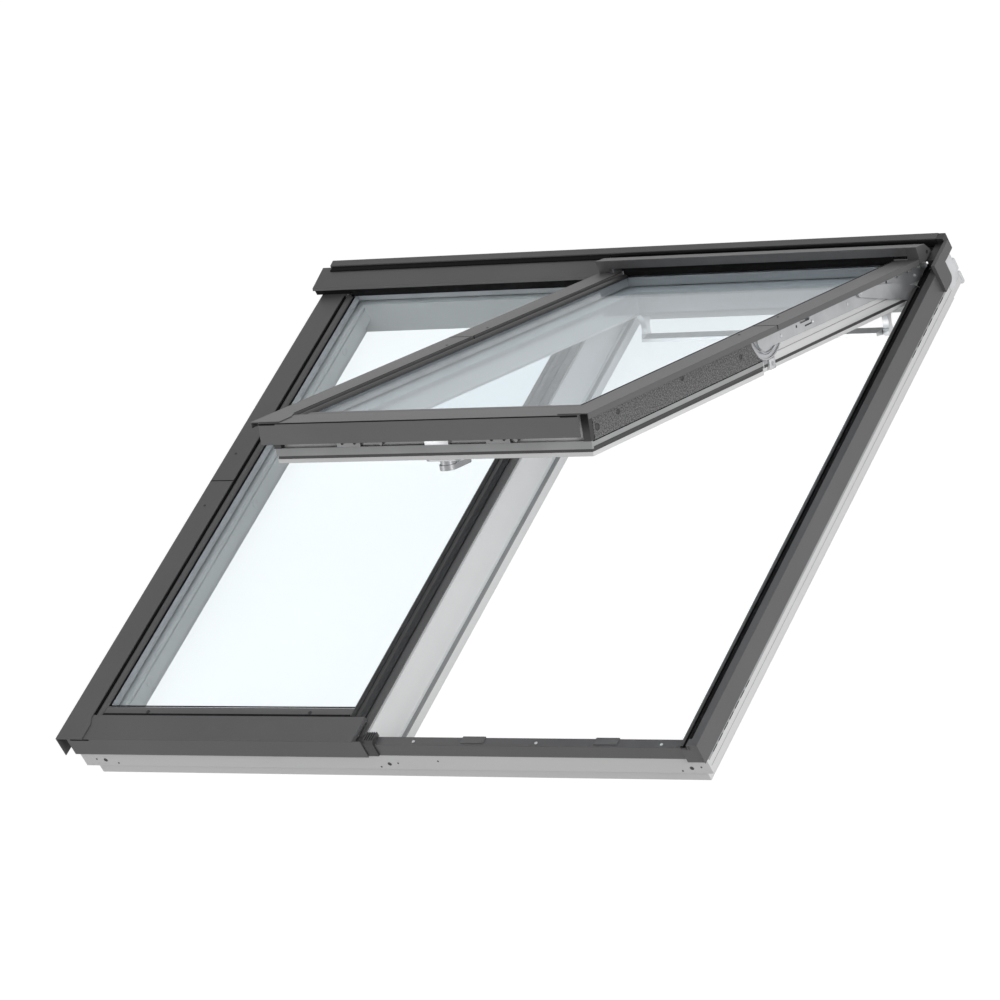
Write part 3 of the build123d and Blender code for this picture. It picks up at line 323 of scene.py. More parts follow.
@dataclass(frozen=True)
class PlatedSteel:
    """Zinc-plated or satin metal, brushed along its length."""

    name: str
    shade: Colour
    roughness: float
    brush: Axis = Axis.SLOPE
    metallic: float = 1.0

    def material(self) -> bpy.types.Material:
        """Build the finish.

        Returns:
            The material.
        """
        tree = ShaderTree(self.name)
        stretch = (6.0, 240.0, 240.0) if self.brush is Axis.ACROSS else (240.0, 6.0, 6.0)
        streak = tree.noise(scale=8.0, detail=4.0, stretch=stretch)
        cloud = tree.noise(scale=30.0, detail=3.0)
        low = tuple(channel * 0.86 for channel in self.shade)
        tree.link(tree.ramp(cloud, low, self.shade), tree.shader.inputs["Base Color"])
        tree.vary_roughness(streak, self.roughness - 0.08, self.roughness + 0.1)
        tree.relief(streak, strength=0.12, depth=0.0001, edge=0.0005)
        tree.set(Metallic=self.metallic)
        return tree.material


@dataclass(frozen=True)
class Felt:
    """Pressed grey fibre board with pale flecks."""

    name: str
    shade: Colour
    fleck: Colour

    def material(self) -> bpy.types.Material:
        """Build the finish.

        Returns:
            The material.
        """
        tree = ShaderTree(self.name)
        fibre = tree.noise(scale=520.0, detail=8.0, stretch=(1.0, 0.7, 1.0))
        tree.link(
            tree.ramp(fibre, self.shade, self.fleck, spread=(0.4, 0.66)),
            tree.shader.inputs["Base Color"],
        )
        tree.relief(fibre, strength=0.7, depth=0.0008, edge=0.001)
        tree.set(Roughness=0.95, Sheen_Weight=0.25, Sheen_Roughness=0.5)
        return tree.material


class Finishes:
    """All finishes of the window, and which CAD piece takes which."""

    GREY = (0.118, 0.117, 0.12)

    def __init__(self) -> None:
        """Build every material once."""
        white = 0.9
        self.paint_across = WhitePaint("white_paint_across", white, Axis.ACROSS).material()
        self.paint_slope = WhitePaint("white_paint_slope", white, Axis.SLOPE).material()
        self.cover = Lacquer("grey_cover_lacquer", self.GREY).material()
        self.bead = Lacquer("dark_bead_lacquer", (0.07, 0.07, 0.072), 0.44).material()
        self.cap = Moulding("dark_grey_plastic", (0.05, 0.05, 0.052), 0.5).material()
        self.keep = Moulding("grey_keep_plastic", (0.16, 0.16, 0.163), 0.5).material()
        self.fixed_glass = ClearGlass("fixed_glass", (0.94, 0.966, 0.974)).material()
        # painted shade: the sash glass is tinted deeper than the fixed glass to darken the sash rails seen
        # through it
        self.sash_glass_painted_shade = ClearGlass("sash_glass_painted_shade", (0.895, 0.93, 0.95)).material()
        self.spacer = Moulding("spacer_profile", (0.5, 0.52, 0.54), 0.5).material()
        self.rubber = Moulding("black_rubber", (0.007, 0.007, 0.0075), 0.78, shine=0.12).material()
        self.ridge = Moulding("ridge_rubber", (0.022, 0.022, 0.023), 0.44).material()
        self.black = Moulding("black_plastic", (0.024, 0.024, 0.025), 0.5).material()
        self.light = Moulding("pale_edge_plastic", (0.48, 0.485, 0.49), 0.5).material()
        self.ledge = Moulding("ledge_seal_plastic", (0.34, 0.345, 0.35), 0.5).material()
        self.case = PlatedSteel("dark_zinc", (0.19, 0.19, 0.195), 0.42, metallic=0.75).material()
        self.zinc = PlatedSteel("zinc_plate", (0.52, 0.53, 0.545), 0.44, metallic=0.75).material()
        self.bright = PlatedSteel("bright_zinc", (0.68, 0.69, 0.7), 0.36, metallic=0.8).material()
        self.white_plug = Moulding("white_plug", (0.92, 0.92, 0.92), 0.45).material()
        self.flashing = Moulding("pale_flashing", (0.52, 0.53, 0.54), 0.5).material()
        self.satin = PlatedSteel("satin_vent_bar", (0.7, 0.71, 0.72), 0.35, Axis.ACROSS).material()
        self.grip = PlatedSteel("satin_handle", (0.33, 0.335, 0.345), 0.35, Axis.ACROSS).material()
        self.felt = Felt("fibre_insulation", (0.07, 0.07, 0.071), (0.31, 0.31, 0.315)).material()

    def by_node(self) -> dict[str, bpy.types.Material]:
        """Finish of each CAD piece.

        Returns:
            Material for each CAD node's name.
        """
        across = ("frame_head", "frame_sill", "sash_bottom_rail", "sash_top_rail")
        frame_slope = ("frame_left_stile", "frame_right_stile", "frame_mullion")
        sash_slope = ("sash_left_stile", "sash_right_stile")
        fixed_panes = ("fixed_inner_pane", "fixed_outer_pane")
        sash_panes = ("sash_inner_pane", "sash_outer_pane")
        rubber = ("fixed_bead_top", "right_wall_seal")
        ridge = ("fixed_bead_right", "sash_seal")
        black = ("corner_block", "sash_corner_blocks")
        arms = ("lift_arm_left", "lift_arm_right", "pivot_tracks", "pivot_shoes")
        levers = ("hinge_brackets", "spring_lever_left", "spring_lever_right")
        groups = (
            (across, self.paint_across),
            (frame_slope + sash_slope, self.paint_slope),
            (fixed_panes, self.fixed_glass),
            (sash_panes, self.sash_glass_painted_shade),
            (rubber, self.rubber),
            (ridge, self.ridge),
            (black, self.black),
            (arms + levers, self.zinc),
            (("vent_bar_brackets", "vent_bar"), self.satin),
            (("handle_base", "handle_grip"), self.grip),
            (("lock_bolts",), self.case),
            (("fixed_spacer", "sash_spacer"), self.spacer),
            (("sash_bottom_bead",), self.bead),
            (("mullion_end_cap", "sash_gasket"), self.cap),
            (("lock_keeps",), self.keep),
            (("insulation_strips",), self.felt),
            (("sash_edge_strip",), self.light),
            (("frame_seal",), self.ledge),
        )
        return {node: material for nodes, material in groups for node in nodes}

    def dress_frame(self, nodes: dict[str, bpy.types.Object]) -> None:
        """Give every CAD piece its finish; what is not listed is a grey cover.

        Args:
            nodes: CAD objects by node name.
        """
        finishes = self.by_node()
        for name, piece in nodes.items():
            paint(piece, finishes.get(name, self.cover))
        LOG.info("dressed %d CAD pieces", len(nodes))


def paint(piece: bpy.types.Object, material: bpy.types.Material) -> None:
    """Give a piece one finish all over.

    Args:
        piece: Mesh object.
        material: Its finish.
    """
    piece.data.materials.clear()
    piece.data.materials.append(material)


class Facing(Enum):
    """Way that the face of a small piece looks, with the window shut."""

    OUT = (0.0, 0.0, 1.0)
    DOWN_SLOPE = (0.0, -1.0, 0.0)
    RIGHT = (1.0, 0.0, 0.0)
    LEFT = (-1.0, 0.0, 0.0)

    @property
    def vector(self) -> Vector:
        """The direction as a vector.

        Returns:
            A unit vector.
        """
        return Vector(self.value)


@dataclass(frozen=True)
class Fixing:
    """What a small piece moves with, its material slot and its finish."""

    body: Body
    slot: str
    material: bpy.types.Material


@dataclass(frozen=True)
class Head:
    """Sizes of a round head with a sunk middle, in millimetres."""

    radius: float
    height: float
    rim: float
    sink: float
    ease: float = 0.25
    sides: int = 28


COVER_RIVET = Head(radius=2.4, height=0.5, rim=0.7, sink=0.2, ease=0.15)
REVEAL_PLUG = Head(radius=7.5, height=0.9, rim=0.9, sink=0.15)
SILL_PLUG = Head(radius=3.8, height=0.3, rim=0.9, sink=0.2, ease=0.08)
SILL_NAIL = Head(radius=1.7, height=0.25, rim=0.5, sink=0.15, ease=0.06)
BEAD_SCREW = Head(radius=3.4, height=0.9, rim=1.2, sink=0.6)
SILL_COVER_SCREW = Head(radius=2.8, height=0.9, rim=1.0, sink=0.6)
FELT_BUTTON = Head(radius=4.8, height=0.7, rim=1.1, sink=0.6)
FELT_STUD = Head(radius=6.4, height=0.8, rim=1.6, sink=0.7)
LOCK_SCREW = Head(radius=2.6, height=0.6, rim=0.8, sink=0.4)
PIVOT_SCREW = Head(radius=3.6, height=1.0, rim=1.1, sink=0.6)
ARM_RIVET = Head(radius=3.2, height=0.9, rim=1.0, sink=0.5)
CAP_SCREW = Head(radius=3.4, height=0.7, rim=1.1, sink=0.6)
LEVER_BOLT = Head(radius=4.6, height=0.7, rim=1.2, sink=0.4, ease=0.2)


@dataclass(frozen=True)
class Rib:
    """Curved rib about a line along X; sizes in millimetres, angles in degrees from up the slope."""

    centre: Pair
    low_x: float
    high_x: float
    radius: float
    width: float
    start: float
    sweep: float
    ease: float = 0.3


class Bench:
    """Work bench: pieces are modelled with the window shut, then fixed to their body.

    Places are in millimetres. Pieces of the sash and of the arms are swung open when they are fixed.
    """

    SMOOTH = math.radians(35.0)
    SWUNG = (Body.SASH, Body.LIFT_ARMS)
    EASE_SEGMENTS = 2
    SPIN_STEPS = 32
    MERGE = 0.01
    ALIGNED = 0.95

    def __init__(self, joints: list[dict]) -> None:
        """Work out how far the resting window stands open.

        Args:
            joints: The window's joints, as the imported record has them.
        """
        hinge = next(joint for joint in joints if joint["name"] == "top_hinge")
        line = Vector(hinge["pos_m"])
        turn = Matrix.Rotation(math.radians(hinge["range_deg"][0]), 4, "X")
        self.swing = Matrix.Translation(line) @ turn @ Matrix.Translation(-line)

    def settle(self, piece: bpy.types.Object, name: str, ease: float) -> bpy.types.Object:
        """Name a piece and round its edges.

        Args:
            piece: Mesh object in object mode.
            name: Name of the piece.
            ease: Width of its rounded edges, in millimetres.

        Returns:
            The piece.
        """
        piece.name = name
        piece.data.name = name
        bevel = piece.modifiers.new("eased_edges", "BEVEL")
        bevel.width = ease * MM
        bevel.segments = self.EASE_SEGMENTS
        bevel.limit_method = "ANGLE"
        bpy.context.view_layer.objects.active = piece
        bpy.ops.object.modifier_apply(modifier=bevel.name)
        return piece

    def strip(self, name: str, low: Point, high: Point, ease: float = 0.3) -> bpy.types.Object:
        """Straight strip or block with eased edges.

        Args:
            name: Name of the piece.
            low: Lowest corner.
            high: Highest corner.
            ease: Width of the rounded edges.

        Returns:
            The piece.
        """
        bpy.ops.object.select_all(action="DESELECT")
        centre = (Vector(low) + Vector(high)) * (0.5 * MM)
        bpy.ops.mesh.primitive_cube_add(size=1.0, location=centre)
        piece = bpy.context.object
        piece.scale = (Vector(high) - Vector(low)) * MM
        bpy.ops.object.transform_apply(location=True, rotation=True, scale=True)
        return self.settle(piece, name, ease)

    def pick(self, piece: bpy.types.Object, facing: Vector) -> None:
        """Enter edit mode with only the faces selected that look one way.

        Args:
            piece: The piece.
            facing: Direction of the faces.
        """
        bpy.context.view_layer.objects.active = piece
        bpy.ops.object.mode_set(mode="EDIT")
        bpy.ops.mesh.select_mode(type="FACE")
        bpy.ops.mesh.select_all(action="DESELECT")
        mesh = bmesh.from_edit_mesh(piece.data)
        for face in mesh.faces:
            face.select_set(face.normal.dot(facing) > self.ALIGNED)
        bmesh.update_edit_mesh(piece.data)

    def head(self, name: str, place: Point, facing: Facing, size: Head) -> bpy.types.Object:
        """Round head with a raised rim, as on a screw, a rivet or a plug.

        Args:
            name: Name of the piece.
            place: Middle of its foot.
            facing: Way that it looks.
            size: Its sizes.

        Returns:
            The piece.
        """
        bpy.ops.object.select_all(action="DESELECT")
        bpy.ops.mesh.primitive_cylinder_add(
            vertices=size.sides,
            radius=size.radius * MM,
            depth=size.height * MM,
            location=Vector(place) * MM + facing.vector * (0.5 * size.height * MM),
            rotation=facing.vector.to_track_quat("Z", "Y").to_euler(),
        )
        piece = bpy.context.object
        bpy.ops.object.transform_apply(location=True, rotation=True, scale=True)
        self.pick(piece, facing.vector)
        bpy.ops.mesh.inset(thickness=size.rim * MM)
        bpy.ops.mesh.extrude_region_move(
            TRANSFORM_OT_translate={"value": facing.vector * (-size.sink * MM)}
        )
        bpy.ops.object.mode_set(mode="OBJECT")
        return self.settle(piece, name, size.ease)

    def rib(self, name: str, size: Rib) -> bpy.types.Object:
        """Curved rib, spun from its section.

        Args:
            name: Name of the piece.
            size: Its sizes.

        Returns:
            The piece.
        """
        centre = Vector((0.0, *size.centre)) * MM
        bpy.ops.object.select_all(action="DESELECT")
        bpy.ops.mesh.primitive_plane_add(
            size=1.0,
            location=centre + Vector((0.5 * (size.low_x + size.high_x), size.radius, 0.0)) * MM,
        )
        piece = bpy.context.object
        piece.scale = ((size.high_x - size.low_x) * MM, size.width * MM, 1.0)
        bpy.ops.object.transform_apply(location=True, rotation=True, scale=True)
        turn = Matrix.Rotation(math.radians(size.start), 4, "X")
        piece.data.transform(Matrix.Translation(centre) @ turn @ Matrix.Translation(-centre))
        bpy.ops.object.mode_set(mode="EDIT")
        bpy.ops.mesh.select_all(action="SELECT")
        bpy.ops.mesh.spin(
            steps=self.SPIN_STEPS,
            angle=-math.radians(size.sweep),
            center=centre,
            axis=(1.0, 0.0, 0.0),
        )
        bpy.ops.mesh.select_all(action="SELECT")
        bpy.ops.mesh.remove_doubles(threshold=self.MERGE * MM)
        bpy.ops.mesh.normals_make_consistent(inside=False)
        bpy.ops.object.mode_set(mode="OBJECT")
        return self.settle(piece, name, size.ease)

    def copies(self, piece: bpy.types.Object, shifts: list[Point]) -> list[bpy.types.Object]:
        """The piece with its copies, each on its own mesh.

        Args:
            piece: The first one.
            shifts: Moves from the first one to each copy, in millimetres.

        Returns:
            The piece and its copies.
        """
        row = [piece]
        for shift in shifts:
            other = piece.copy()
            other.data = piece.data.copy()
            other.data.transform(Matrix.Translation(Vector(shift) * MM))
            bpy.context.scene.collection.objects.link(other)
            row.append(other)
        return row

    def fix(self, pieces: list[bpy.types.Object], fixing: Fixing) -> None:
        """Swing pieces open with their body, finish them and fix them to it.

        Args:
            pieces: Modelled pieces.
            fixing: Their body, slot and finish.
        """
        for piece in pieces:
            if fixing.body in self.SWUNG:
                piece.data.transform(self.swing)
            bpy.ops.object.select_all(action="DESELECT")
            piece.select_set(True)
            bpy.context.view_layer.objects.active = piece
            bpy.ops.object.shade_smooth_by_angle(angle=self.SMOOTH)
            paint(piece, fixing.material)
            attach(piece, fixing.body.value)
        LOG.info("fixed %d x %s to the %s", len(pieces), pieces[0].name, fixing.body.value)

    def heads(self, name: str, places: list[Point], facing: Facing, size: Head, fixing: Fixing) -> None:
        """Model one head, copy it to every place and fix them all.

        Args:
            name: Name of the heads.
            places: Middle of each foot.
            facing: Way that they look.
            size: Their sizes.
            fixing: Their body, slot and finish.
        """
        first = Vector(places[0])
        piece = self.head(name, places[0], facing, size)
        shifts = [tuple(Vector(place) - first) for place in places[1:]]
        self.fix(self.copies(piece, shifts), fixing)


@dataclass
class FrameTrim:
    """Screws, plugs, gaskets and flashing of the fixed frame, in millimetres."""

    bench: Bench
    finishes: Finishes
    right: float = 660.0
    bottom: float = -589.0
    top: float = 589.0
    reveal: float = -561.0
    cover_top: float = 97.0
    cover_rivet: float = -616.0
    glass_face: float = 90.0
    glass_gap: float = 0.05
    bead_margin: float = 53.5
    bead_screw_line: float = -526.0
    bead_top: float = 93.0
    sill_cover_top: float = 84.0
    skin_gap: float = 0.02
    flashing_foot: float = -584.0
    lower_tab_step: float = 24.0
    upper_tab_start: float = 930.0
    upper_tab_step: float = 27.0
    roll_step: float = 30.0

    def gaskets(self) -> None:
        """Black rubber lines beside the beads and on the right cover, and black strips in the same rubber
        finish that paint shadow under the top cover, at the left cover's end, beside the mullion cap and
        along the right cover's inner edge.
        """
        # the black rubber finish serves the real gaskets and the painted shadow lines alike
        rubber = Fixing(Body.FRAME, "black_rubber", self.finishes.rubber)
        low, high = self.bottom + self.bead_margin, self.top - self.bead_margin
        base = self.glass_face + self.glass_gap
        lines = (
            ("left_bead_outer_line", (-585.9, low, base), (-583.6, high, base + 5.4)),
            ("left_bead_inner_line", (-568.4, low + 24.0, base), (-564.4, high, base + 1.2)),
            ("bottom_bead_front_line", (-568.0, low - 1.4, base + 1.0), (-48.5, low + 4.6, base + 4.2)),
            ("bottom_bead_glass_line", (-565.0, low + 23.8, base), (-48.5, low + 26.4, base + 1.0)),
            ("side_cover_seam", (-636.2, 44.2, 96.4), (-585.8, 46.0, 97.25)),
            # painted shadow: black strip where the left side cover's lower end meets the bottom cover
            ("side_cover_end_painted_shadow", (-606.0, self.bottom - 6.9, 92.2), (-566.0, self.bottom - 6.3, 95.2)),
            # painted shadow: black strip for the gap between the bottom cover's end and the mullion cap
            ("mullion_gap_painted_shadow", (-15.8, self.bottom - 5.4, 60.4), (-11.4, self.bottom - 4.3, 85.8)),
            ("corner_seal", (628.5, 509.0, 84.05), (641.0, 576.0, 89.3)),
            # painted shadow: black strip for the shadow groove along the right cover's inner edge
            ("right_cover_painted_shadow", (641.7, self.bottom + 8.0, 95.9), (647.0, 540.0, 96.3)),
            # painted shadow: black strips for the shadow gap under the top cover's front edge
            ("top_cover_left_painted_shadow", (-628.0, 579.0, 117.2), (-18.5, 590.4, 119.6)),
            ("top_cover_right_painted_shadow", (-17.5, 586.2, 106.0), (646.0, 590.4, 119.6)),
            ("right_end_line", (625.6, self.bottom - 3.0, 60.0), (627.6, self.bottom - 1.6, 84.0)),
        )
        for name, corner, far_corner in lines:
            self.bench.fix([self.bench.strip(name, corner, far_corner)], rubber)

    def plugs(self) -> None:
        """White plugs in the left reveal and dark plugs in the covers and in the sill's face."""
        white = Fixing(Body.FRAME, "white_wood", self.finishes.white_plug)
        dark = Fixing(Body.FRAME, "black_plastic", self.finishes.black)
        in_reveal = ((39.0, 44.0), (-409.0, 43.0), (437.0, 45.0))
        places = [(self.reveal, y, z) for y, z in in_reveal]
        self.bench.heads("reveal_plug", places, Facing.RIGHT, REVEAL_PLUG, white)
        places = [(self.cover_rivet, y, self.cover_top) for y in (115.0, -19.0)]
        self.bench.heads("cover_rivet", places, Facing.OUT, COVER_RIVET, dark)
        holes = ((-562.5, 38.0), (32.5, 37.0), (624.0, 36.0))
        places = [(x, self.bottom, z) for x, z in holes]
        self.bench.heads("sill_hole_plug", places, Facing.DOWN_SLOPE, SILL_PLUG, dark)
        left_nails = ((-581.0, 40.0), (-538.0, 31.0))
        right_nails = ((50.5, 39.0), (12.6, 30.0), (133.5, 45.0), (643.0, 38.5), (604.0, 29.4))
        places = [(x, self.bottom, z) for x, z in left_nails + right_nails]
        self.bench.heads("sill_nail", places, Facing.DOWN_SLOPE, SILL_NAIL, dark)

    def screws(self) -> None:
        """Screws of the bottom bead and of the sill cover."""
        dark = Fixing(Body.FRAME, "black_plastic", self.finishes.black)
        bright = Fixing(Body.FRAME, "bright_steel", self.finishes.bright)
        places = [(x, self.bead_screw_line, self.bead_top) for x in (-475.0, -134.0)]
        self.bench.heads("bead_screw", places, Facing.OUT, BEAD_SCREW, dark)
        on_sill = ((100.0, -582.0), (343.0, -582.5), (585.0, -583.0))
        places = [(x, y, self.sill_cover_top) for x, y in on_sill]
        self.bench.heads("sill_cover_screw", places, Facing.OUT, SILL_COVER_SCREW, bright)

    def right_side(self) -> None:
        """Grey lip on the right seal, and the pale flashing along the right skirt."""
        grey = Fixing(Body.FRAME, "grey_covers", self.finishes.cover)
        pale = Fixing(Body.FRAME, "light_plastic", self.finishes.flashing)
        dark = Fixing(Body.FRAME, "black_rubber", self.finishes.rubber)
        bright = Fixing(Body.FRAME, "bright_steel", self.finishes.bright)
        lip = self.bench.strip("right_seal_lip", (622.7, self.bottom + 1.0, 86.0), (628.6, 506.0, 86.9))
        self.bench.fix([lip], grey)
        face, near, foot = self.right, self.right + self.skin_gap, self.flashing_foot
        flashing = self.bench.strip("side_flashing", (near, foot, 50.2), (face + 1.2, 544.0, 54.9))
        self.bench.fix([flashing], pale)
        seam = self.bench.strip("side_seam", (near, foot, 37.6), (face + 0.4, 560.0, 38.6), LINE_EASE)
        self.bench.fix([seam], pale)
        tab = self.bench.strip("flashing_tab", (face + 1.1, -566.0, 50.8), (face + 1.6, -549.0, 52.6), 0.15)
        lower = [(0.0, self.lower_tab_step * step, 0.0) for step in range(1, 7)]
        upper = [(0.0, self.upper_tab_start + self.upper_tab_step * step, 0.0) for step in range(6)]
        self.bench.fix(self.bench.copies(tab, lower + upper), dark)
        plate = self.bench.strip("corner_bracket", (near, 547.0, 38.0), (face + 1.3, 588.5, 94.0))
        self.bench.fix([plate], bright)
        roll = self.bench.strip("corner_roll", (651.0, 589.1, 46.0), (660.6, 598.0, 72.0), 3.0)
        self.bench.fix(self.bench.copies(roll, [(0.0, 0.0, -self.roll_step)]), bright)

    def build(self) -> None:
        """Make all trim of the frame."""
        self.gaskets()
        self.plugs()
        self.screws()
        self.right_side()


@dataclass
class PairedTrim:
    """Trim that is alike on both sides of the opening light, in millimetres."""

    SIDES: ClassVar[tuple[Facing, Facing]] = (Facing.LEFT, Facing.RIGHT)

    bench: Bench
    finishes: Finishes
    middle: float = 314.0

    def across(self, reach: float, side: Facing) -> float:
        """Place on one side of the opening light.

        Args:
            reach: Distance from the middle.
            side: Way that the side looks.

        Returns:
            X of the place.
        """
        return self.middle + reach * side.vector.x

    def span(self, near: float, far: float, side: Facing) -> Pair:
        """Stretch between two places on one side of the opening light.

        Args:
            near: Distance of one end from the middle.
            far: Distance of the other end from the middle.
            side: Way that the side looks.

        Returns:
            Lowest and highest X of the stretch.
        """
        ends = (self.across(near, side), self.across(far, side))
        return min(ends), max(ends)


@dataclass
class CoverTrim(PairedTrim):
    """Trim on the side covers of the opening light, drawn shut, in millimetres."""

    cover_top: float = 97.0
    cover_inner: float = 276.0
    cover_rivet: float = 290.0
    fold_band: Pair = (1.2, 4.0)
    fold_sunk: float = 0.1
    fold_proud: float = 0.3

    def rivet_covers(self, name: str, along: float, fixing: Fixing) -> None:
        """Put one rivet in the cover on each side.

        Args:
            name: Name of the rivets.
            along: Their place along the slope.
            fixing: Their body, slot and finish.
        """
        places = [(self.across(self.cover_rivet, side), along, self.cover_top) for side in self.SIDES]
        self.bench.heads(name, places, Facing.OUT, COVER_RIVET, fixing)

    def painted_shadow_fold(self, name: str, side: Facing, run: Pair) -> bpy.types.Object:
        """Black strip that paints the shadow along the inner fold of a side cover.

        Args:
            name: Name of the line.
            side: Way that the cover's side looks.
            run: Its lower and upper ends along the slope.

        Returns:
            The line.
        """
        near, far = (self.cover_inner + offset for offset in self.fold_band)
        low_x, high_x = self.span(near, far, side)
        low = (low_x, run[0], self.cover_top - self.fold_sunk)
        high = (high_x, run[1], self.cover_top + self.fold_proud)
        return self.bench.strip(name, low, high, LINE_EASE)


@dataclass
class SashTrim(CoverTrim):
    """Fasteners, lines and facings of the sash, drawn shut, in millimetres."""

    felt_reach: float = 307.0
    stile_reach: float = 293.0
    edge_reach: float = 295.0
    strip_reach: float = 306.0
    cover_front: float = -597.0
    cover_end_step: float = 584.0
    rivet_line: float = -55.0
    skin_gap: float = 0.02
    line_depth: float = 0.5
    facing_depth: float = 0.6
    strip_run: Pair = (-560.0, -21.0)
    facing_run: Pair = (36.0, 515.0)
    fold_run: Pair = (-536.0, 4.0)
    glass_run: Pair = (-533.2, 502.0)
    felt_band: Pair = (43.1, 44.9)
    foot_band: Pair = (32.1, 35.4)
    facing_band: Pair = (32.3, 44.9)
    glass_band: Pair = (89.4, 91.4)
    glass_offsets: Pair = (0.5, 4.2)
    lock_middles: Pair = (154.0, 444.0)
    lock_screw_offsets: Pair = (-12.0, 12.0)
    foot_offsets: Pair = (0.1, 6.5)

    def felt_buttons(self) -> None:
        """Sunk buttons that hold the insulation on each side."""
        dark = Fixing(Body.SASH, "black_plastic", self.finishes.cap)
        for side in self.SIDES:
            x = self.across(self.felt_reach, side)
            small = [(x, -477.0, 71.0), (x, -275.0, 77.0), (x, -88.0, 67.0)]
            self.bench.heads("felt_button", small, side, FELT_BUTTON, dark)
            self.bench.heads("felt_stud", [(x, -543.0, 63.0)], side, FELT_STUD, dark)

    def cover_rivets(self) -> None:
        """Rivets beside the seam of each side cover."""
        dark = Fixing(Body.SASH, "black_plastic", self.finishes.black)
        self.rivet_covers("side_cover_rivet", self.rivet_line, dark)

    def edge_lines(self) -> None:
        """Shadow lines and gasket at the bottom cover, white facings on the upper edge strip."""
        rubber = Fixing(Body.SASH, "black_rubber", self.finishes.rubber)
        front, back = self.cover_front, self.cover_front + 0.1
        # painted shadow: black strip along the bottom cover's front fold
        fold = self.bench.strip("painted_shadow_fold", (6.0, front - 0.35, 93.2), (622.0, back, 94.9), LINE_EASE)
        self.bench.fix([fold], rubber)
        # painted shadow: black strips under the lower ends of the side covers
        left_end = self.bench.strip("cover_end_painted_shadow", (6.0, front - 0.7, 91.8), (38.0, back, 94.9), 0.15)
        self.bench.fix(self.bench.copies(left_end, [(self.cover_end_step, 0.0, 0.0)]), rubber)
        gasket = self.bench.strip("bead_gasket", (38.4, -539.8, 88.1), (589.6, -533.4, 91.4), 0.4)
        self.bench.fix([gasket], rubber)
        white = Fixing(Body.SASH, "white_wood", self.finishes.paint_slope)
        near = self.middle + self.edge_reach + self.skin_gap
        low = (near, self.facing_run[0], self.facing_band[0])
        high = (near + self.facing_depth, self.facing_run[1], self.facing_band[1])
        right_facing = self.bench.strip("upper_edge_facing", low, high, 0.15)
        to_left = -2.0 * (self.edge_reach + self.skin_gap) - self.facing_depth
        self.bench.fix(self.bench.copies(right_facing, [(to_left, 0.0, 0.0)]), white)

    def side_line(self, name: str, ends: Pair, run: Pair, band: Pair, ease: float) -> bpy.types.Object:
        """Line along one side of the sash.

        Args:
            name: Name of the line.
            ends: Its lowest and highest X.
            run: Its lower and upper ends along the slope.
            band: Its lowest and highest Z.
            ease: Width of its rounded edges.

        Returns:
            The line.
        """
        low, high = zip(ends, run, band)
        return self.bench.strip(name, low, high, ease)

    def side_lines(self) -> None:
        """Dark lines along the lower edge strips and beside the glass, and painted shadow lines on the side
        covers' folds.
        """
        rubber = Fixing(Body.SASH, "black_rubber", self.finishes.rubber)
        dark = Fixing(Body.SASH, "black_rubber", self.finishes.cap)
        inner_offset, outer_offset = self.glass_offsets
        for side in self.SIDES:
            skin = self.span(self.strip_reach + self.skin_gap, self.strip_reach + self.line_depth, side)
            under_felt = self.side_line("felt_foot_line", skin, self.strip_run, self.felt_band, LINE_EASE)
            strip_foot = self.side_line("strip_foot_line", skin, self.strip_run, self.foot_band, LINE_EASE)
            self.bench.fix([under_felt], rubber)
            self.bench.fix([strip_foot], dark)
            # painted shadow: black strip along each side cover's inner fold
            fold = self.painted_shadow_fold("side_cover_fold_painted_shadow", side, self.fold_run)
            edge = self.span(self.cover_inner - inner_offset, self.cover_inner - outer_offset, side)
            beside_glass = self.side_line("glass_side_line", edge, self.glass_run, self.glass_band, 0.4)
            self.bench.fix([fold, beside_glass], rubber)

    def foot(self) -> None:
        """Bright striker plate between the lock cases, and the screws of the cases."""
        bright = Fixing(Body.SASH, "bright_steel", self.finishes.bright)
        plate = self.bench.strip("striker_plate", (303.0, -565.5, 44.9), (349.0, -556.0, 56.0), 0.8)
        self.bench.fix([plate], bright)
        dark = Fixing(Body.SASH, "black_plastic", self.finishes.black)
        across = [middle + offset for middle in self.lock_middles for offset in self.lock_screw_offsets]
        screws = [(x, -564.0, 51.0) for x in across]
        self.bench.heads("lock_screw", screws, Facing.DOWN_SLOPE, LOCK_SCREW, dark)

    def pivot_feet(self) -> None:
        """Bright feet under the pivot shoes, each pair with its zinc screw."""
        bright = Fixing(Body.SASH, "bright_steel", self.finishes.bright)
        zinc = Fixing(Body.SASH, "bright_steel", self.finishes.zinc)
        near, far = (self.stile_reach + offset for offset in self.foot_offsets)
        for side in self.SIDES:
            low_x, high_x = self.span(near, far, side)
            front = self.bench.strip("pivot_front_foot", (low_x, -23.0, 27.5), (high_x, -6.0, 39.0), 1.2)
            back = self.bench.strip("pivot_back_foot", (low_x, 12.0, 20.5), (high_x, 31.0, 39.0), 1.2)
            self.bench.fix([front, back], bright)
            screw = [(self.across(far, side), 21.0, 30.0)]
            self.bench.heads("pivot_screw", screw, side, PIVOT_SCREW, zinc)

    def build(self) -> None:
        """Make all trim of the sash."""
        self.felt_buttons()
        self.cover_rivets()
        self.edge_lines()
        self.side_lines()
        self.foot()
        self.pivot_feet()


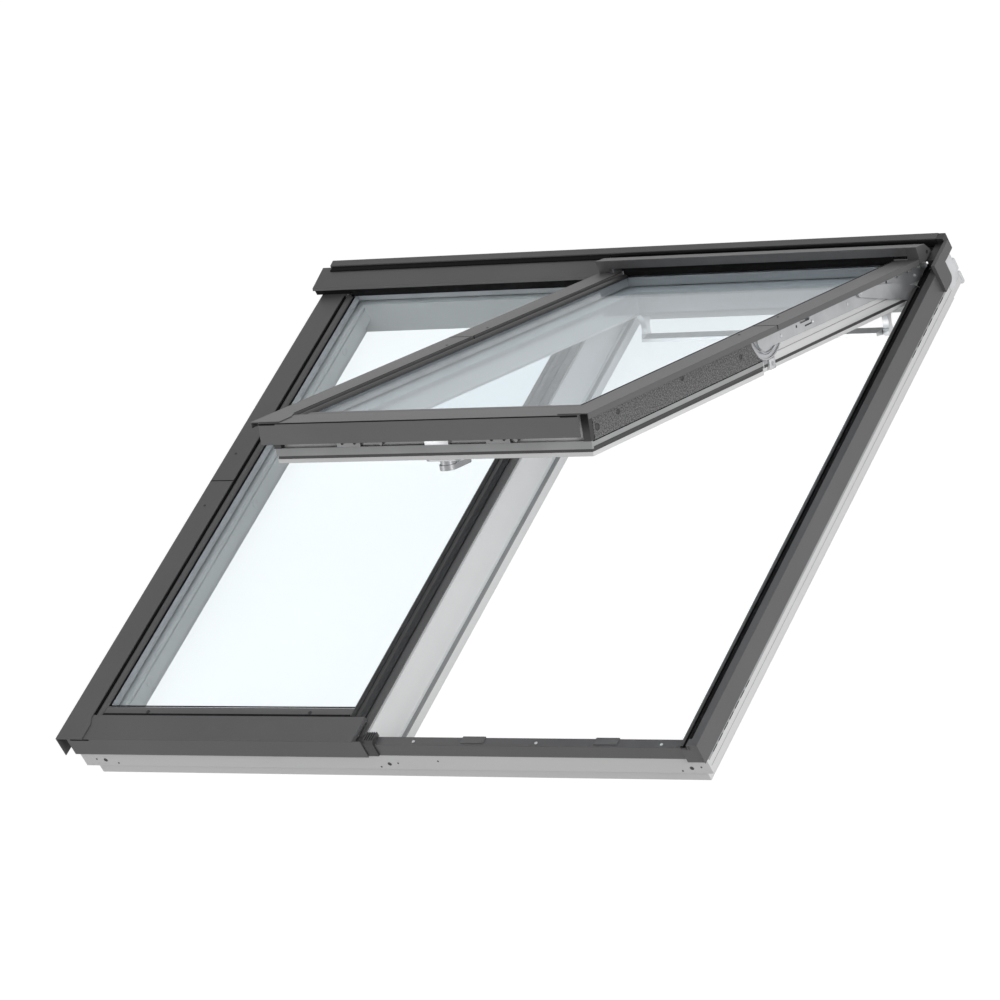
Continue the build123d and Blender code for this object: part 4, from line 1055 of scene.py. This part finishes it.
@dataclass
class ArmTrim(CoverTrim):
    """Rivets and slots of the lift arms, ribs of their tracks and gasket of their hood, drawn shut."""

    arm_reach: float = 303.5
    track_reach: float = 300.5
    cap_reach: float = 326.5
    rivet_line: float = 74.0
    slot_sunk: float = 0.02
    slot_depth: float = 0.25
    slot_ease: float = 0.08
    seam_proud: float = 0.2
    seam_drop: float = 7.0
    fold_run: Pair = (10.6, 501.0)
    rim_offsets: Pair = (-0.1, 2.2)
    pivot: Pair = (8.0, 98.0)

    def rivets(self) -> None:
        """Rivets along each arm and in its cover, and one screw in each end cap of the hood."""
        bright = Fixing(Body.LIFT_ARMS, "bright_steel", self.finishes.bright)
        dark = Fixing(Body.LIFT_ARMS, "black_plastic", self.finishes.black)
        along_arm = ((454.0, 80.0), (521.0, 66.0), (538.0, 77.0), (281.0, 70.5), (160.0, 69.0), (53.0, 69.5))
        for side in self.SIDES:
            x = self.across(self.arm_reach, side)
            places = [(x, y, z) for y, z in along_arm]
            self.bench.heads("arm_rivet", places, side, ARM_RIVET, bright)
            cap = [(self.across(self.cap_reach, side), 533.0, 104.0)]
            self.bench.heads("hood_cap_screw", cap, side, CAP_SCREW, dark)
        self.rivet_covers("upper_cover_rivet", self.rivet_line, dark)

    def slots(self) -> None:
        """Black strips that paint the shade inside the slot, notch and hole stamped in each arm, the seam
        line of each upper cover, and a painted shadow line along its fold.
        """
        dark = Fixing(Body.LIFT_ARMS, "black_plastic", self.finishes.black)
        rubber = Fixing(Body.LIFT_ARMS, "black_rubber", self.finishes.rubber)
        skin, ease = self.arm_reach - self.slot_sunk, self.slot_ease
        inner, outer = self.cover_inner - self.seam_proud, self.cap_reach + self.seam_proud
        seam_low, seam_high = self.cover_top - self.seam_drop, self.cover_top + self.seam_proud
        for side in self.SIDES:
            low_x, high_x = self.span(skin, skin + self.slot_depth, side)
            # painted shade: black strips stand in for the dark inside of the stamped slot, notch and hole
            slot = self.bench.strip("arm_slot_painted_shade", (low_x, 134.0, 66.2), (high_x, 156.0, 68.8), ease)
            notch = self.bench.strip("arm_notch_painted_shade", (low_x, 84.0, 81.5), (high_x, 95.0, 86.5), ease)
            hole = self.bench.strip("arm_hole_painted_shade", (low_x, 104.0, 70.4), (high_x, 108.0, 75.0), ease)
            self.bench.fix([slot, notch, hole], dark)
            low_x, high_x = self.span(inner, outer, side)
            seam = self.bench.strip("cover_seam", (low_x, 8.6, seam_low), (high_x, 10.2, seam_high), ease)
            # painted shadow: black strip along the upper cover's inner fold
            fold = self.painted_shadow_fold("upper_cover_fold_painted_shadow", side, self.fold_run)
            self.bench.fix([seam, fold], rubber)

    def track_ribs(self) -> None:
        """Raised rims along the curved tracks, below the arms."""
        zinc = Fixing(Body.LIFT_ARMS, "bright_steel", self.finishes.zinc)
        near, far = (self.track_reach + offset for offset in self.rim_offsets)
        for side in self.SIDES:
            ends = self.span(near, far, side)
            outer = Rib(self.pivot, *ends, radius=56.6, width=2.6, start=-137.0, sweep=94.0)
            inner = Rib(self.pivot, *ends, radius=46.0, width=1.6, start=-123.0, sweep=66.0)
            ribs = [self.bench.rib("track_outer_rim", outer), self.bench.rib("track_inner_rim", inner)]
            self.bench.fix(ribs, zinc)

    def hood_gasket(self) -> None:
        """Black gasket that closes the gap between the hood and the glass."""
        rubber = Fixing(Body.LIFT_ARMS, "black_rubber", self.finishes.rubber)
        gasket = self.bench.strip("hood_gasket", (39.5, 503.4, 89.4), (588.5, 508.5, 112.0), 0.8)
        self.bench.fix([gasket], rubber)

    def build(self) -> None:
        """Make all trim of the lift arms."""
        self.rivets()
        self.slots()
        self.track_ribs()
        self.hood_gasket()


@dataclass
class LeverTrim(PairedTrim):
    """Bolt heads at both ends of the spring levers, where they rest, in millimetres."""

    lever_reach: float = 307.7
    root: Pair = (530.0, 50.0)
    length: float = 225.0
    rise: float = math.radians(43.0)

    def build(self) -> None:
        """Make the bolt heads."""
        bright = Fixing(Body.SPRING_LEVERS, "bright_steel", self.finishes.bright)
        root_y, root_z = self.root
        tip_y = root_y - self.length * math.cos(self.rise)
        tip_z = root_z + self.length * math.sin(self.rise)
        for side in self.SIDES:
            x = self.across(self.lever_reach, side)
            ends = [(x, tip_y, tip_z), (x, root_y, root_z)]
            self.bench.heads("lever_bolt", ends, side, LEVER_BOLT, bright)


def seen_level(tree: bpy.types.NodeTree, unseen: float, seen: float) -> bpy.types.NodeSocket:
    """Level of a backdrop, set apart for the rays that show it in the picture.

    Args:
        tree: Node tree of the backdrop.
        unseen: Level for rays that only carry light.
        seen: Level for camera, glossy and transmission rays.

    Returns:
        The level's value socket.
    """
    path = tree.nodes.new("ShaderNodeLightPath")
    shown = path.outputs["Is Camera Ray"]
    for ray in ("Is Glossy Ray", "Is Transmission Ray"):
        either = tree.nodes.new("ShaderNodeMath")
        either.operation = "MAXIMUM"
        tree.links.new(shown, either.inputs[0])
        tree.links.new(path.outputs[ray], either.inputs[1])
        shown = either.outputs[0]
    level = tree.nodes.new("ShaderNodeMapRange")
    level.inputs["To Min"].default_value = unseen
    level.inputs["To Max"].default_value = seen
    tree.links.new(shown, level.inputs["Value"])
    return level.outputs["Result"]


@dataclass(frozen=True)
class Lamp:
    """Soft square lamp that faces the window, in metres and watts."""

    name: str
    place: Point
    power: float
    size: float

    def hang(self) -> None:
        """Hang the lamp in its place."""
        data = bpy.data.lights.new(self.name, "AREA")
        data.energy = self.power
        data.size = self.size
        lamp = bpy.data.objects.new(self.name, data)
        bpy.context.scene.collection.objects.link(lamp)
        lamp.location = self.place
        lamp.rotation_euler = (-Vector(self.place)).to_track_quat("-Z", "Y").to_euler()


@dataclass
class Studio:
    """White floor, soft light and the camera of the picture, in metres."""

    eye: Point = (5.5127, -6.0272, 5.8179)
    right: Point = (0.8336, 0.3878, -0.3936)
    up: Point = (0.0147, 0.6965, 0.7174)
    forward: Point = (-0.5523, 0.6038, -0.5748)
    lens: float = 207.81
    sensor: float = 36.0
    sight: float = 60.0
    floor_half: float = 12.0
    floor_drop: float = 0.001
    floor_shade: float = 0.2
    floor_glow: float = 0.95
    floor_bounce: float = 0.18
    sky: float = 0.28
    sky_seen: float = 1.0
    key: Lamp = Lamp("key_lamp", (5.2, -1.6, 2.0), power=132.0, size=3.0)
    fill: Lamp = Lamp("fill_lamp", (-3.0, -4.2, 1.5), power=36.0, size=2.6)

    def camera(self) -> None:
        """Set the camera where the picture was taken from."""
        data = bpy.data.cameras.new("picture_camera")
        data.lens = self.lens
        data.sensor_width = self.sensor
        data.clip_end = self.sight
        camera = bpy.data.objects.new("picture_camera", data)
        bpy.context.scene.collection.objects.link(camera)
        columns = (Vector(self.right), Vector(self.up), -Vector(self.forward))
        turn = Matrix([[column[row] for column in columns] for row in range(3)])
        camera.matrix_world = Matrix.Translation(self.eye) @ turn.to_4x4()
        bpy.context.scene.camera = camera

    def floor(self) -> None:
        """Lay a plain white floor that still takes a faint shadow."""
        bpy.ops.object.select_all(action="DESELECT")
        bpy.ops.mesh.primitive_plane_add(size=2.0 * self.floor_half, location=(0.0, 0.0, -self.floor_drop))
        floor = bpy.context.object
        floor.name = "studio_floor"
        tree = ShaderTree("studio_white")
        shade = (self.floor_shade, self.floor_shade, self.floor_shade, 1.0)
        tree.set(Base_Color=shade, Roughness=0.9, Specular_IOR_Level=0.0, Emission_Color=WHITE)
        glow = seen_level(tree.tree, self.floor_bounce, self.floor_glow)
        tree.link(glow, tree.shader.inputs["Emission Strength"])
        paint(floor, tree.material)

    def world(self) -> None:
        """Even white surroundings, at full white only where they are seen."""
        world = bpy.data.worlds.new("studio_world")
        bpy.context.scene.world = world
        world.use_nodes = True
        tree = world.node_tree
        backdrop = tree.nodes["Background"]
        backdrop.inputs["Color"].default_value = WHITE
        tree.links.new(seen_level(tree, self.sky, self.sky_seen), backdrop.inputs["Strength"])

    def build(self) -> None:
        """Set up the whole studio."""
        bpy.context.scene.view_settings.view_transform = "Standard"
        self.camera()
        self.floor()
        self.world()
        self.key.hang()
        self.fill.hang()
        LOG.info("studio ready")


def main() -> None:
    """Load the window, dress it and set up the studio."""
    logging.basicConfig(level=logging.INFO)
    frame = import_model()
    finishes = Finishes()
    finishes.dress_frame(frame["nodes"])
    bench = Bench(frame["joints"])
    FrameTrim(bench, finishes).build()
    SashTrim(bench, finishes).build()
    ArmTrim(bench, finishes).build()
    LeverTrim(bench, finishes).build()
    Studio().build()


if __name__ == "__main__":
    main()
